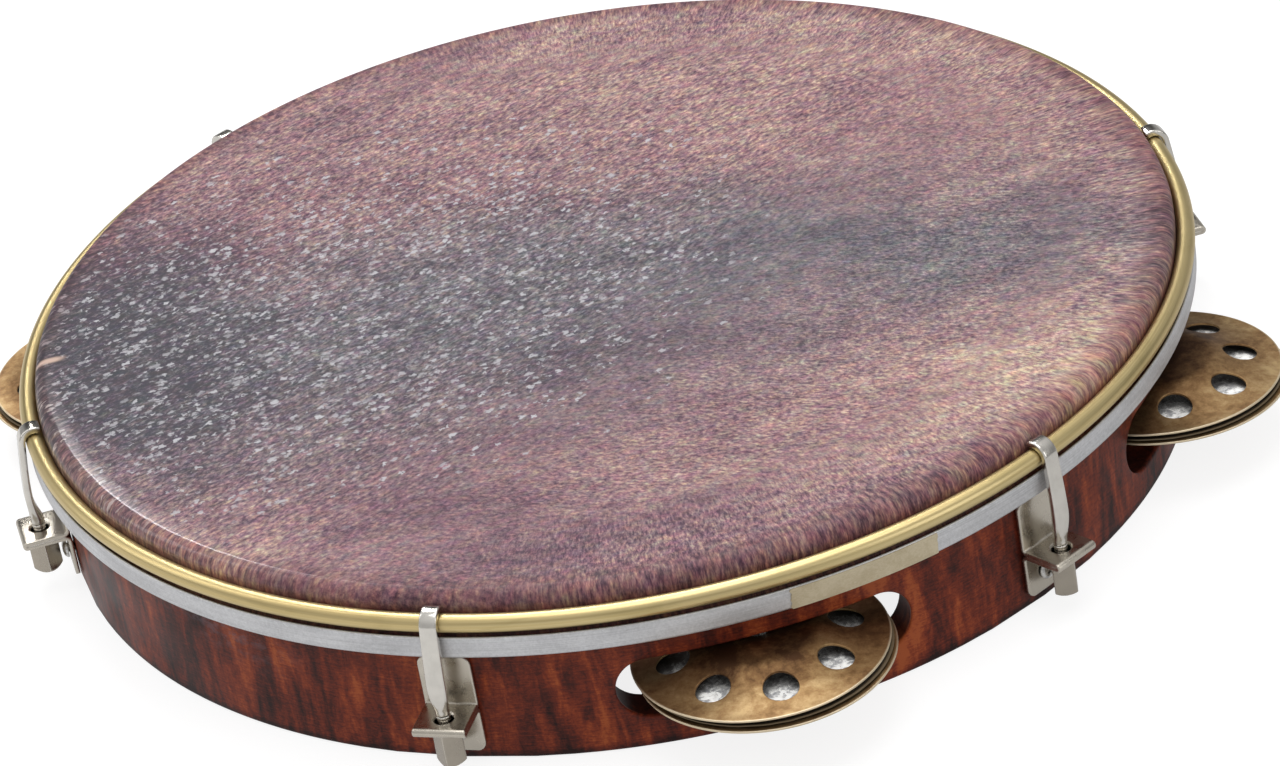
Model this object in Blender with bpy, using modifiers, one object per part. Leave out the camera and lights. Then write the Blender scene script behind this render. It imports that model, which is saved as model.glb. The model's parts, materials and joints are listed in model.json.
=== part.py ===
"""Ten-inch pandeiro (frame drum with jingles), modelled in metres with +Z up.

The origin is the centre of the shell's bottom rim, on the drum's axis.
Azimuths are measured in degrees from +X towards +Y, and the player's side is -Y.
"""
import math

import bmesh
import bpy
from mathutils import Matrix, Vector

MM = 0.001
GAP = 0.3 * MM                      # clearance between pieces that touch

# Layout around the drum
STATION_COUNT = 6
STATION_STEP = 360.0 / STATION_COUNT
FIRST_HOOK_AZIMUTH = 9.27
BAY_OFFSET = STATION_STEP / 2
GRIP_BAY = 3                        # the bay with no jingles, where the hand holds the shell
JINGLE_BAYS = [bay for bay in range(STATION_COUNT) if bay != GRIP_BAY]
RING_SEGMENTS = 72
DISC_SEGMENTS = 24

# Shell
SHELL_RADIUS = 127.0 * MM
SHELL_WALL = 9.2 * MM
SHELL_HEIGHT = 40.7 * MM
BEARING_EDGE_RADIUS = 2.4 * MM
RIM_CHAMFER = 0.8 * MM
INNER_TOP_CHAMFER = 1.0 * MM
SLOT_LENGTH = 63.4 * MM
SLOT_LOW = 7.2 * MM
SLOT_HIGH = 21.3 * MM

# Head
FILM = 0.4 * MM
COLLAR_FLARE_DROP = 2.4 * MM        # below the bar's centre the collar widens to the foot
FOOT_OFFSET = 0.6 * MM              # from the channel's middle to the foot's inner face
FOOT_CLEARANCE = 1.1 * MM           # over the channel's floor

# Flesh hoop, an aluminium channel open at the top
CHANNEL_INNER_RADIUS = SHELL_RADIUS + 0.35 * MM
CHANNEL_OUTER_RADIUS = 131.4 * MM
CHANNEL_LOW = 28.1 * MM
CHANNEL_HIGH = 33.2 * MM
CHANNEL_INNER_LIP = 31.0 * MM
CHANNEL_SHEET = 0.6 * MM
TAPE_START = 280.0
TAPE_END = 295.0
TAPE = 0.2 * MM
BOND_GAP = 0.1 * MM
RESIN_HEIGHT = 2.4 * MM

# Counterhoop, a brass bar bent to a ring
BAR_RADIUS = 2.0 * MM
BAR_RING_RADIUS = 129.9 * MM
BAR_HEIGHT = 35.85 * MM

# Tension hooks
HOOK_WIDTH = 4.2 * MM
HOOK_THICKNESS = 1.5 * MM
CLAW_CLEARANCE = 0.2 * MM
CLAW_WRAP = 118.0                   # degrees from the outermost point of the bar to the claw's tip
CLAW_STEPS = 5
CLAW_TIP_THINNING = 0.7
HOOK_LEAN = {0: 0.9 * MM, 1: 0.0, 2: 0.0, 3: -1.4 * MM, 4: 0.4 * MM, 5: 1.2 * MM}
ROD_RADIUS = 1.5 * MM
ROD_PLACE = 133.5 * MM
ROD_END = 7.0 * MM

# Brackets, each folded from one strip
STRIP = 1.0 * MM
BRACKET_WIDTH = 11.5 * MM
BRACKET_BACK = SHELL_RADIUS + GAP
PLATE_FRONT = 138.2 * MM
PLATE_TOP = 14.7 * MM
PLATE_THICKNESS = 2 * STRIP
FLANGE_TOP = 26.4 * MM
FLANGE_LOW = 2.8 * MM
FLANGE_CORNER = 2.2 * MM
INNER_BEND = 0.6 * MM
ROD_HOLE_RADIUS = 2.3 * MM
SCREW_HEIGHT = 7.6 * MM

# Tension nuts, square
NUT_SIDE = 4.8 * MM
NUT_TOP = PLATE_TOP - PLATE_THICKNESS - GAP
NUT_LOW = 3.9 * MM
NUT_BORE = 1.65 * MM
NUT_CORNER = 0.3 * MM
NUT_TURNED_HEIGHT = 1.1 * MM
NUT_TURNED_FACE = 0.62              # radius of the turned lower face over the half diagonal

# Bracket screws and their nuts inside the shell
SCREW_SHANK_RADIUS = 1.1 * MM
SCREW_HOLE_RADIUS = 1.4 * MM
SCREW_HEAD_RADIUS = 2.2 * MM
SCREW_HEAD_HEIGHT = 1.2 * MM
SCREW_END = 114.7 * MM
RECESS_ARM = 0.42 * SCREW_HEAD_RADIUS
RECESS_HALF_WIDTH = 0.14 * SCREW_HEAD_RADIUS
RECESS_TURN = 0.35                  # radians, so that no arm meets the head's facets edge on
HEX_ACROSS_FLATS = 5.0 * MM
HEX_THICKNESS = 2.0 * MM

# Jingle sets
PIN_PLACE = 124.2 * MM
PIN_RADIUS = 1.0 * MM
PIN_HEAD_RADIUS = 1.5 * MM
PIN_HEAD_LOW = 0.3 * MM
PIN_HEAD_TOP = 0.9 * MM
PIN_TOP = 26.0 * MM
JINGLE_RADIUS = 27.1 * MM
JINGLE_SHEET = 0.5 * MM
JINGLE_BORE = 2.2 * MM
DOME_PROFILE = [                    # (radius, rise over the rim) of a disc's upper face
    (JINGLE_BORE, 3.6 * MM), (7.5 * MM, 3.6 * MM), (13.0 * MM, 2.8 * MM), (18.4 * MM, 1.25 * MM),
    (JINGLE_RADIUS, 0.0)]
DOME_RISE = DOME_PROFILE[0][1]
TOP_RIM = 17.0 * MM
BOTTOM_RIM = 14.3 * MM
BOTTOM_SHIFT = 0.7 * MM
TOP_SHIFT = {0: (0.0, 0.0), 1: (0.0, 0.0), 2: (-0.8 * MM, 0.0), 4: (-0.3 * MM, -0.8 * MM), 5: (-0.6 * MM, 0.0)}
SET_DROP = {0: 0.0, 1: 0.0, 2: 2.9 * MM, 4: 0.0, 5: 1.1 * MM}    # how far each set has slid down its pin
SET_TILT = {0: 0.0, 1: 0.0, 2: 0.0, 4: 0.0, 5: 2.3}    # degrees each set leans anticlockwise along the rim
HOLE_COUNT = 8
HOLE_CIRCLE = 18.4 * MM
HOLE_RADIUS = 3.7 * MM
JINGLE_TURN = {0: 14.0, 1: 5.0, 2: 30.0, 4: -1.9, 5: 23.0}
DAMPER_RADIUS = 26.6 * MM
DAMPER_SHEET = 0.4 * MM
DAMPER_LOW = 15.2 * MM


def clear_scene():
    for obj in list(bpy.data.objects):
        bpy.data.objects.remove(obj, do_unlink=True)


def make_collection(name):
    collection = bpy.data.collections.new(name)
    bpy.context.scene.collection.children.link(collection)
    return collection


def make_material(name, colour, roughness, metallic):
    material = bpy.data.materials.new(name)
    material.use_nodes = True
    material.diffuse_color = (*colour, 1.0)
    shader = material.node_tree.nodes["Principled BSDF"]
    shader.inputs["Base Color"].default_value = (*colour, 1.0)
    shader.inputs["Roughness"].default_value = roughness
    shader.inputs["Metallic"].default_value = metallic
    return material


def azimuth_of_hook(station):
    return math.radians(FIRST_HOOK_AZIMUTH + STATION_STEP * station)


def azimuth_of_bay(bay):
    return azimuth_of_hook(bay) + math.radians(BAY_OFFSET)


def on_circle(radius, azimuth, height=0.0):
    return Vector((radius * math.cos(azimuth), radius * math.sin(azimuth), height))


def arc(centre, radius, start, end, steps):
    """Points on an arc in a plane, from start to end in degrees."""
    points = []
    for i in range(steps + 1):
        angle = math.radians(start + (end - start) * i / steps)
        points.append((centre[0] + radius * math.cos(angle), centre[1] + radius * math.sin(angle)))
    return points


def add_object(name, mesh, collection, material=None, sharp_angle=30.0):
    obj = bpy.data.objects.new(name, mesh)
    collection.objects.link(obj)
    if material is not None and not mesh.materials:
        mesh.materials.append(material)
    if sharp_angle is not None:
        mesh.shade_smooth()
        mesh.set_sharp_from_angle(angle=math.radians(sharp_angle))
    return obj


def turned(name, profile, segments, closed, collection, material=None):
    """A turned piece: the (radius, height) profile runs down its outer side, top to bottom."""
    mesh = bpy.data.meshes.new(name)
    edges = [(i, i + 1) for i in range(len(profile) - 1)]
    if closed:
        edges.append((len(profile) - 1, 0))
    mesh.from_pydata([(radius, 0.0, height) for radius, height in profile], edges, [])
    obj = add_object(name, mesh, collection, material, sharp_angle=None)
    screw = obj.modifiers.new("turn", "SCREW")
    screw.angle = 2 * math.pi
    screw.steps = segments
    screw.render_steps = segments
    screw.use_merge_vertices = True
    screw.merge_threshold = 0.00001
    screw.use_smooth_shade = True
    return obj


def solid_mesh(obj):
    """The evaluated mesh of an object, welded, in place of the object itself."""
    graph = bpy.context.evaluated_depsgraph_get()
    mesh = bpy.data.meshes.new_from_object(obj.evaluated_get(graph), depsgraph=graph)
    work = bmesh.new()
    work.from_mesh(mesh)
    bmesh.ops.remove_doubles(work, verts=work.verts, dist=0.000005)
    work.to_mesh(mesh)
    work.free()
    bpy.data.objects.remove(obj, do_unlink=True)
    return mesh


def plate_mesh(name, outline, thickness, collection):
    """A flat outline in XY, extruded to a plate that is centred on Z = 0."""
    curve = bpy.data.curves.new(name, "CURVE")
    curve.dimensions = "2D"
    curve.fill_mode = "BOTH"
    curve.extrude = thickness / 2
    spline = curve.splines.new("POLY")
    spline.points.add(len(outline) - 1)
    for point, (x, y) in zip(spline.points, outline):
        point.co = (x, y, 0.0, 1.0)
    spline.use_cyclic_u = True
    obj = bpy.data.objects.new(name, curve)
    collection.objects.link(obj)
    return solid_mesh(obj)


def cylinder_mesh(name, radius, depth, segments):
    """A cylinder on the Z axis, centred on the origin."""
    work = bmesh.new()
    bmesh.ops.create_cone(work, cap_ends=True, segments=segments, radius1=radius, radius2=radius, depth=depth)
    mesh = bpy.data.meshes.new(name)
    work.to_mesh(mesh)
    work.free()
    return mesh


def rounded_outline(half_width, half_height, corner, steps=4):
    """A rectangle with rounded corners, centred on the origin."""
    points = []
    for side_x, side_y, start in ((1, 1, 0), (-1, 1, 90), (-1, -1, 180), (1, -1, 270)):
        centre = (side_x * (half_width - corner), side_y * (half_height - corner))
        points += arc(centre, corner, start, start + 90, steps)
    return points


def as_cutter(obj):
    obj.hide_render = True
    obj.display_type = "WIRE"
    return obj


def cut(obj, cutter, operation="DIFFERENCE"):
    boolean = obj.modifiers.new("cut", "BOOLEAN")
    boolean.operation = operation
    boolean.object = cutter
    boolean.solver = "EXACT"


def radial_frame(azimuth, radius=0.0, height=0.0):
    """X outward, Y along the rim and Z up, at a place on the drum."""
    return Matrix.Translation(on_circle(radius, azimuth, height)) @ Matrix.Rotation(azimuth, 4, "Z")


# ---------------------------------------------------------------- shell and head

def make_shell(parts, cutters, material):
    inner = SHELL_RADIUS - SHELL_WALL
    edge = BEARING_EDGE_RADIUS
    chamfer = INNER_TOP_CHAMFER
    profile = [(inner, SHELL_HEIGHT - chamfer), (inner + chamfer, SHELL_HEIGHT)]
    profile += arc((SHELL_RADIUS - edge, SHELL_HEIGHT - edge), edge, 90, 0, 4)
    profile += [(SHELL_RADIUS, RIM_CHAMFER), (SHELL_RADIUS - RIM_CHAMFER, 0.0)]
    profile += [(inner + RIM_CHAMFER, 0.0), (inner, RIM_CHAMFER)]
    shell = turned("shell", profile, RING_SEGMENTS, True, parts, material)

    half_height = (SLOT_HIGH - SLOT_LOW) / 2
    slot_outline = rounded_outline(SLOT_LENGTH / 2, half_height, 0.993 * half_height, 6)
    slot_mesh = plate_mesh("slot_cutter", slot_outline, 4 * SHELL_WALL, cutters)
    pin_length = 1.2 * PIN_TOP
    pin_mesh = cylinder_mesh("pin_hole_cutter", PIN_RADIUS + GAP, pin_length, 12)
    sink_mesh = cylinder_mesh("pin_head_cutter", PIN_HEAD_RADIUS + GAP, 2 * (PIN_HEAD_TOP + GAP), 12)
    upright = Matrix.Rotation(math.pi / 2, 4, "Z") @ Matrix.Rotation(math.pi / 2, 4, "X")
    for bay in JINGLE_BAYS:
        azimuth = azimuth_of_bay(bay)
        slot = as_cutter(add_object(f"slot_cutter_{bay}", slot_mesh, cutters))
        slot.matrix_world = radial_frame(azimuth, PIN_PLACE, SLOT_LOW + half_height) @ upright
        cut(shell, slot)
        pin_hole = as_cutter(add_object(f"pin_hole_cutter_{bay}", pin_mesh, cutters))
        pin_hole.location = on_circle(PIN_PLACE, azimuth, PIN_TOP + GAP - pin_length / 2)
        cut(shell, pin_hole)
        sink = as_cutter(add_object(f"pin_head_cutter_{bay}", sink_mesh, cutters))
        sink.location = on_circle(PIN_PLACE, azimuth)
        cut(shell, sink)

    screw_mesh = cylinder_mesh("screw_hole_cutter", SCREW_HOLE_RADIUS, 4 * SHELL_WALL, 12)
    sideways = Matrix.Rotation(math.pi / 2, 4, "Y")
    for station in range(STATION_COUNT):
        hole = as_cutter(add_object(f"screw_hole_cutter_{station}", screw_mesh, cutters))
        hole.matrix_world = radial_frame(azimuth_of_hook(station), SHELL_RADIUS, SCREW_HEIGHT) @ sideways
        cut(shell, hole)


def make_head(parts, material):
    """The film lies on the bearing edge, comes down as a collar and ends in the channel."""
    edge_centre = (SHELL_RADIUS - BEARING_EDGE_RADIUS, SHELL_HEIGHT - BEARING_EDGE_RADIUS)
    inner_edge = BEARING_EDGE_RADIUS + GAP
    outer_edge = inner_edge + FILM
    collar_in = edge_centre[0] + inner_edge
    collar_out = collar_in + FILM
    foot = (CHANNEL_INNER_RADIUS + CHANNEL_OUTER_RADIUS) / 2 - FOOT_OFFSET
    flare_high = BAR_HEIGHT - COLLAR_FLARE_DROP
    flare_low = CHANNEL_INNER_LIP + GAP
    foot_low = CHANNEL_LOW + CHANNEL_SHEET + FOOT_CLEARANCE
    profile = [(0.0, edge_centre[1] + outer_edge)]
    profile += arc(edge_centre, outer_edge, 90, 0, 4)
    profile += [(collar_out, flare_high), (foot + FILM, flare_low + FILM), (foot + FILM, foot_low)]
    profile += [(foot, foot_low), (foot, flare_low), (collar_in, flare_high - FILM)]
    profile += arc(edge_centre, inner_edge, 0, 90, 4)
    profile += [(0.0, edge_centre[1] + inner_edge)]
    turned("head_membrane", profile, RING_SEGMENTS, False, parts, material)


# ---------------------------------------------------------------- hoops

def make_flesh_hoop(parts, material):
    inner_wall = CHANNEL_INNER_RADIUS + CHANNEL_SHEET
    outer_wall = CHANNEL_OUTER_RADIUS - CHANNEL_SHEET
    floor = CHANNEL_LOW + CHANNEL_SHEET
    profile = [(CHANNEL_INNER_RADIUS, CHANNEL_INNER_LIP), (inner_wall, CHANNEL_INNER_LIP)]
    profile += [(inner_wall, floor), (outer_wall, floor), (outer_wall, CHANNEL_HIGH)]
    profile += [(CHANNEL_OUTER_RADIUS, CHANNEL_HIGH), (CHANNEL_OUTER_RADIUS, CHANNEL_LOW)]
    profile += [(CHANNEL_INNER_RADIUS, CHANNEL_LOW)]
    turned("flesh_hoop", profile, RING_SEGMENTS, True, parts, material)


def make_resin(parts, material):
    """The resin bead that locks the film's edge into the channel."""
    low = CHANNEL_LOW + CHANNEL_SHEET + GAP
    high = low + RESIN_HEIGHT
    outer = CHANNEL_OUTER_RADIUS - CHANNEL_SHEET - GAP
    inner = (CHANNEL_INNER_RADIUS + CHANNEL_OUTER_RADIUS) / 2 - FOOT_OFFSET + FILM + GAP
    profile = [(inner, high), (outer, high), (outer, low), (inner, low)]
    turned("flesh_hoop_resin", profile, RING_SEGMENTS, True, parts, material)


def make_splice_tape(parts, material):
    """Tape over the butt joint of the channel, on its outer face."""
    low = CHANNEL_LOW + BOND_GAP
    high = CHANNEL_HIGH - BOND_GAP
    inner = CHANNEL_OUTER_RADIUS + BOND_GAP
    steps = round((TAPE_END - TAPE_START) / (360.0 / RING_SEGMENTS))
    start = math.radians(TAPE_START)
    sweep = math.radians(TAPE_END - TAPE_START)
    mesh = bpy.data.meshes.new("flesh_hoop_tape")
    work = bmesh.new()
    section = [(inner, high), (inner + TAPE, high), (inner + TAPE, low), (inner, low)]
    corners = [work.verts.new(on_circle(radius, start, height)) for radius, height in section]
    face = work.faces.new(corners)
    bmesh.ops.spin(work, geom=[face], cent=(0, 0, 0), axis=(0, 0, 1), angle=sweep, steps=steps)
    bmesh.ops.remove_doubles(work, verts=work.verts, dist=0.000005)
    bmesh.ops.recalc_face_normals(work, faces=work.faces)
    work.to_mesh(mesh)
    work.free()
    add_object("flesh_hoop_tape", mesh, parts, material)


def make_counterhoop(parts, material):
    profile = arc((BAR_RING_RADIUS, BAR_HEIGHT), BAR_RADIUS, 90, -270, 10)[:-1]
    turned("counterhoop", profile, RING_SEGMENTS, True, parts, material)


# ---------------------------------------------------------------- tension hardware

def hook_stations():
    """Places along a hook: (outward, up, direction, width, thickness, roundness)."""
    claw_radius = BAR_RADIUS + CLAW_CLEARANCE + HOOK_THICKNESS / 2
    stations = []
    for i in range(CLAW_STEPS + 1):
        turn = CLAW_WRAP * (1 - i / CLAW_STEPS)
        angle = math.radians(turn)
        place = (BAR_RING_RADIUS + claw_radius * math.cos(angle), BAR_HEIGHT + claw_radius * math.sin(angle))
        size = HOOK_THICKNESS if i else CLAW_TIP_THINNING * HOOK_THICKNESS
        stations.append((place, turn - 90, HOOK_WIDTH, size, 0.0))
    stations.append(((134.3 * MM, 22.5 * MM), -92.0, HOOK_WIDTH, HOOK_THICKNESS, 0.0))
    stations.append(((134.2 * MM, 20.0 * MM), -99.0, 0.9 * HOOK_WIDTH, 1.3 * HOOK_THICKNESS, 0.3))
    stations.append(((ROD_PLACE, 17.0 * MM), -95.0, 2.1 * ROD_RADIUS, 2.1 * ROD_RADIUS, 1.0))
    stations.append(((ROD_PLACE, 15.5 * MM), -90.0, 2 * ROD_RADIUS, 2 * ROD_RADIUS, 1.0))
    stations.append(((ROD_PLACE, ROD_END), -90.0, 2 * ROD_RADIUS, 2 * ROD_RADIUS, 1.0))
    return stations


def hook_section(width, thickness, roundness, corners=8):
    """A closed section that goes from a softened rectangle to a circle."""
    power = 0.35 + 0.65 * roundness
    points = []
    for i in range(corners):
        angle = 2 * math.pi * (i + 0.5) / corners
        cosine = math.cos(angle)
        sine = math.sin(angle)
        x = math.copysign(abs(cosine) ** power, cosine) * thickness / 2
        y = math.copysign(abs(sine) ** power, sine) * width / 2
        points.append((x, y))
    return points


def make_hook(station, parts, material):
    """A claw over the bar, a flat shank and a round rod, lofted along one path."""
    azimuth = azimuth_of_hook(station)
    claw_height = BAR_HEIGHT + BAR_RADIUS
    rings = []
    work = bmesh.new()
    for (outward, up), direction, width, thickness, roundness in hook_stations():
        normal = math.radians(direction + 90)
        lean = HOOK_LEAN[station] * max(0.0, (up - PLATE_TOP) / (claw_height - PLATE_TOP))
        ring = []
        for x, y in hook_section(width, thickness, roundness):
            place = Vector((outward + x * math.cos(normal), lean + y, up + x * math.sin(normal)))
            ring.append(work.verts.new(place))
        rings.append(ring)
    for first, second in zip(rings, rings[1:]):
        for i in range(len(first)):
            j = (i + 1) % len(first)
            work.faces.new((first[i], first[j], second[j], second[i]))
    work.faces.new(rings[0])
    work.faces.new(rings[-1])
    bmesh.ops.recalc_face_normals(work, faces=work.faces)
    mesh = bpy.data.meshes.new(f"tension_hook_{station}")
    work.to_mesh(mesh)
    work.free()
    hook = add_object(f"tension_hook_{station}", mesh, parts, material)
    hook.matrix_world = Matrix.Rotation(azimuth, 4, "Z")


def bracket_mesh(parts, cutters):
    """One folded strip: a flange up, a double plate with a round front fold, and a flange down."""
    back = 0.0
    face = STRIP
    front = PLATE_FRONT - BRACKET_BACK
    middle = PLATE_TOP - STRIP
    low = PLATE_TOP - PLATE_THICKNESS
    bend = INNER_BEND
    outline = [(back, FLANGE_LOW), (face, FLANGE_LOW), (face, low - bend), (face + bend, low)]
    outline += arc((front - STRIP, middle), STRIP, -90, 90, 6)
    outline += [(face + bend, PLATE_TOP), (face, PLATE_TOP + bend), (face, FLANGE_TOP), (back, FLANGE_TOP)]
    side = plate_mesh("bracket_side", outline, BRACKET_WIDTH, cutters)
    strip = add_object("bracket_blank", side, parts)
    strip.matrix_world = Matrix.Rotation(math.pi / 2, 4, "X")

    middle_height = (FLANGE_TOP + FLANGE_LOW) / 2
    mask_outline = rounded_outline((FLANGE_TOP - FLANGE_LOW) / 2, 1.002 * BRACKET_WIDTH / 2, FLANGE_CORNER)
    mask_mesh = plate_mesh("bracket_corner_mask", mask_outline, 4 * front, cutters)
    mask = as_cutter(add_object("bracket_corner_mask", mask_mesh, cutters))
    mask.matrix_world = Matrix.Translation((0, 0, middle_height)) @ Matrix.Rotation(math.pi / 2, 4, "Y")
    cut(strip, mask, "INTERSECT")

    rod_mesh = cylinder_mesh("rod_hole_cutter", ROD_HOLE_RADIUS, 6 * PLATE_THICKNESS, 16)
    rod_hole = as_cutter(add_object("rod_hole_cutter", rod_mesh, cutters))
    rod_hole.location = (ROD_PLACE - BRACKET_BACK, 0, middle)
    cut(strip, rod_hole)
    screw_mesh = cylinder_mesh("bracket_screw_cutter", SCREW_HOLE_RADIUS, 6 * STRIP, 12)
    screw_hole = as_cutter(add_object("bracket_screw_cutter", screw_mesh, cutters))
    screw_hole.matrix_world = Matrix.Translation((0, 0, SCREW_HEIGHT)) @ Matrix.Rotation(math.pi / 2, 4, "Y")
    cut(strip, screw_hole)
    bpy.context.view_layer.update()
    placed = strip.matrix_world.copy()
    mesh = solid_mesh(strip)
    mesh.transform(placed)
    return mesh


def nut_mesh(parts, cutters):
    """A square nut with its lower corners turned off, bored for the rod."""
    height = NUT_TOP - NUT_LOW
    side = plate_mesh("nut_side", rounded_outline(NUT_SIDE / 2, NUT_SIDE / 2, NUT_CORNER, 1), height, cutters)
    nut = add_object("nut_blank", side, parts)
    corner = NUT_SIDE / math.sqrt(2)
    profile = [(0.0, height), (1.3 * corner, height), (1.3 * corner, -height / 2 + NUT_TURNED_HEIGHT)]
    profile += [(NUT_TURNED_FACE * corner, -height / 2), (0.0, -height / 2)]
    turning = as_cutter(turned("nut_turning_mask", profile, 16, False, cutters))
    cut(nut, turning, "INTERSECT")
    bore_mesh = cylinder_mesh("nut_bore_cutter", NUT_BORE, 3 * height, 10)
    cut(nut, as_cutter(add_object("nut_bore_cutter", bore_mesh, cutters)))
    bpy.context.view_layer.update()
    return solid_mesh(nut)


def screw_mesh(cutters):
    """A pan-head screw whose axis is X, head outward, with a cross recess."""
    shank_length = BRACKET_BACK + STRIP + GAP - SCREW_END
    head = [(0.0, SCREW_HEAD_HEIGHT)]
    head += [(0.6 * SCREW_HEAD_RADIUS, 0.92 * SCREW_HEAD_HEIGHT), (SCREW_HEAD_RADIUS, 0.45 * SCREW_HEAD_HEIGHT)]
    head += [(SCREW_HEAD_RADIUS, 0.0), (SCREW_SHANK_RADIUS, 0.0), (SCREW_SHANK_RADIUS, -shank_length)]
    head += [(0.0, -shank_length)]
    screw = turned("screw_blank", head, 12, False, cutters)
    arm = RECESS_ARM
    thin = RECESS_HALF_WIDTH
    cross = [(arm, thin), (thin, thin), (thin, arm), (-thin, arm), (-thin, thin), (-arm, thin)]
    cross += [(-x, -y) for x, y in cross]
    recess_mesh = plate_mesh("recess_cutter", cross, SCREW_HEAD_HEIGHT, cutters)
    recess = as_cutter(add_object("recess_cutter", recess_mesh, cutters))
    recess.matrix_world = Matrix.Translation((0, 0, SCREW_HEAD_HEIGHT)) @ Matrix.Rotation(RECESS_TURN, 4, "Z")
    cut(screw, recess)
    bpy.context.view_layer.update()
    mesh = solid_mesh(screw)
    mesh.transform(Matrix.Rotation(math.pi / 2, 4, "Y"))
    return mesh


def hex_nut_mesh(parts, cutters):
    """A hexagon nut whose axis is X."""
    outline = arc((0.0, 0.0), HEX_ACROSS_FLATS / math.sqrt(3), 0, 360, 6)[:-1]
    side = plate_mesh("hex_side", outline, HEX_THICKNESS, cutters)
    nut = add_object("hex_blank", side, parts)
    bore = cylinder_mesh("hex_bore_cutter", SCREW_HOLE_RADIUS, 3 * HEX_THICKNESS, 8)
    cut(nut, as_cutter(add_object("hex_bore_cutter", bore, cutters)))
    bpy.context.view_layer.update()
    mesh = solid_mesh(nut)
    mesh.transform(Matrix.Rotation(math.pi / 2, 4, "Y"))
    return mesh


def make_tension_stations(parts, cutters, nickel, steel):
    bracket = bracket_mesh(parts, cutters)
    nut = nut_mesh(parts, cutters)
    screw = screw_mesh(cutters)
    hex_nut = hex_nut_mesh(parts, cutters)
    inner_face = SHELL_RADIUS - SHELL_WALL - GAP - HEX_THICKNESS / 2
    for station in range(STATION_COUNT):
        azimuth = azimuth_of_hook(station)
        make_hook(station, parts, nickel)
        piece = add_object(f"bracket_{station}", bracket, parts, nickel)
        piece.matrix_world = radial_frame(azimuth, BRACKET_BACK)
        piece = add_object(f"tension_nut_{station}", nut, parts, nickel)
        turn = Matrix.Rotation(math.radians(45.0), 4, "Z")
        piece.matrix_world = radial_frame(azimuth, ROD_PLACE, (NUT_TOP + NUT_LOW) / 2) @ turn
        piece = add_object(f"bracket_screw_{station}", screw, parts, steel)
        piece.matrix_world = radial_frame(azimuth, BRACKET_BACK + STRIP + GAP, SCREW_HEIGHT)
        piece = add_object(f"screw_nut_{station}", hex_nut, parts, steel)
        piece.matrix_world = radial_frame(azimuth, inner_face, SCREW_HEIGHT)


# ---------------------------------------------------------------- jingle sets

def jingle_mesh(parts, cutters):
    """A stamped dome with a ring of holes, whose rim's top face is at Z = 0."""
    under = [(radius, rise - JINGLE_SHEET) for radius, rise in reversed(DOME_PROFILE)]
    disc = turned("jingle_blank", DOME_PROFILE + under, DISC_SEGMENTS, True, parts)
    hole_mesh = cylinder_mesh("jingle_hole_cutter", HOLE_RADIUS, 3 * DOME_RISE, 8)
    for i in range(HOLE_COUNT):
        hole = as_cutter(add_object(f"jingle_hole_cutter_{i}", hole_mesh, cutters))
        hole.location = on_circle(HOLE_CIRCLE, 2 * math.pi * i / HOLE_COUNT)
        cut(disc, hole)
    bpy.context.view_layer.update()
    return solid_mesh(disc)


def make_pin(bay, parts, material):
    """The axle of a jingle set, a nail driven up through the shell's wall from the bottom rim."""
    profile = [(0.0, PIN_TOP), (PIN_RADIUS, PIN_TOP), (PIN_RADIUS, PIN_HEAD_TOP)]
    profile += [(PIN_HEAD_RADIUS, PIN_HEAD_TOP), (PIN_HEAD_RADIUS, PIN_HEAD_LOW), (0.0, PIN_HEAD_LOW)]
    pin = turned(f"jingle_pin_{bay}", profile, 12, False, parts, material)
    pin.location = on_circle(PIN_PLACE, azimuth_of_bay(bay))


def make_jingle_sets(parts, cutters, bronze, damper_steel, steel):
    upper = jingle_mesh(parts, cutters)
    lower = upper.copy()
    lower.transform(Matrix.Rotation(math.pi, 4, "X"))
    for bay in JINGLE_BAYS:
        azimuth = azimuth_of_bay(bay)
        make_pin(bay, parts, steel)
        turn = Matrix.Rotation(math.radians(JINGLE_TURN[bay]), 4, "Z")
        lean = Matrix.Rotation(-math.radians(SET_TILT[bay]), 4, "X")
        middle = DAMPER_LOW + DAMPER_SHEET / 2
        place = radial_frame(azimuth, PIN_PLACE, middle - SET_DROP[bay]) @ lean
        piece = add_object(f"top_jingle_{bay}", upper, parts, bronze)
        piece.matrix_world = place @ Matrix.Translation((*TOP_SHIFT[bay], TOP_RIM - middle)) @ turn
        piece = add_object(f"bottom_jingle_{bay}", lower, parts, bronze)
        piece.matrix_world = place @ Matrix.Translation((BOTTOM_SHIFT, 0.0, BOTTOM_RIM - middle)) @ turn.inverted()
        low, high = -DAMPER_SHEET / 2, DAMPER_SHEET / 2
        profile = [(JINGLE_BORE, high), (DAMPER_RADIUS, high), (DAMPER_RADIUS, low), (JINGLE_BORE, low)]
        damper = turned(f"damper_plate_{bay}", profile, DISC_SEGMENTS, True, parts, damper_steel)
        damper.matrix_world = place


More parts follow.
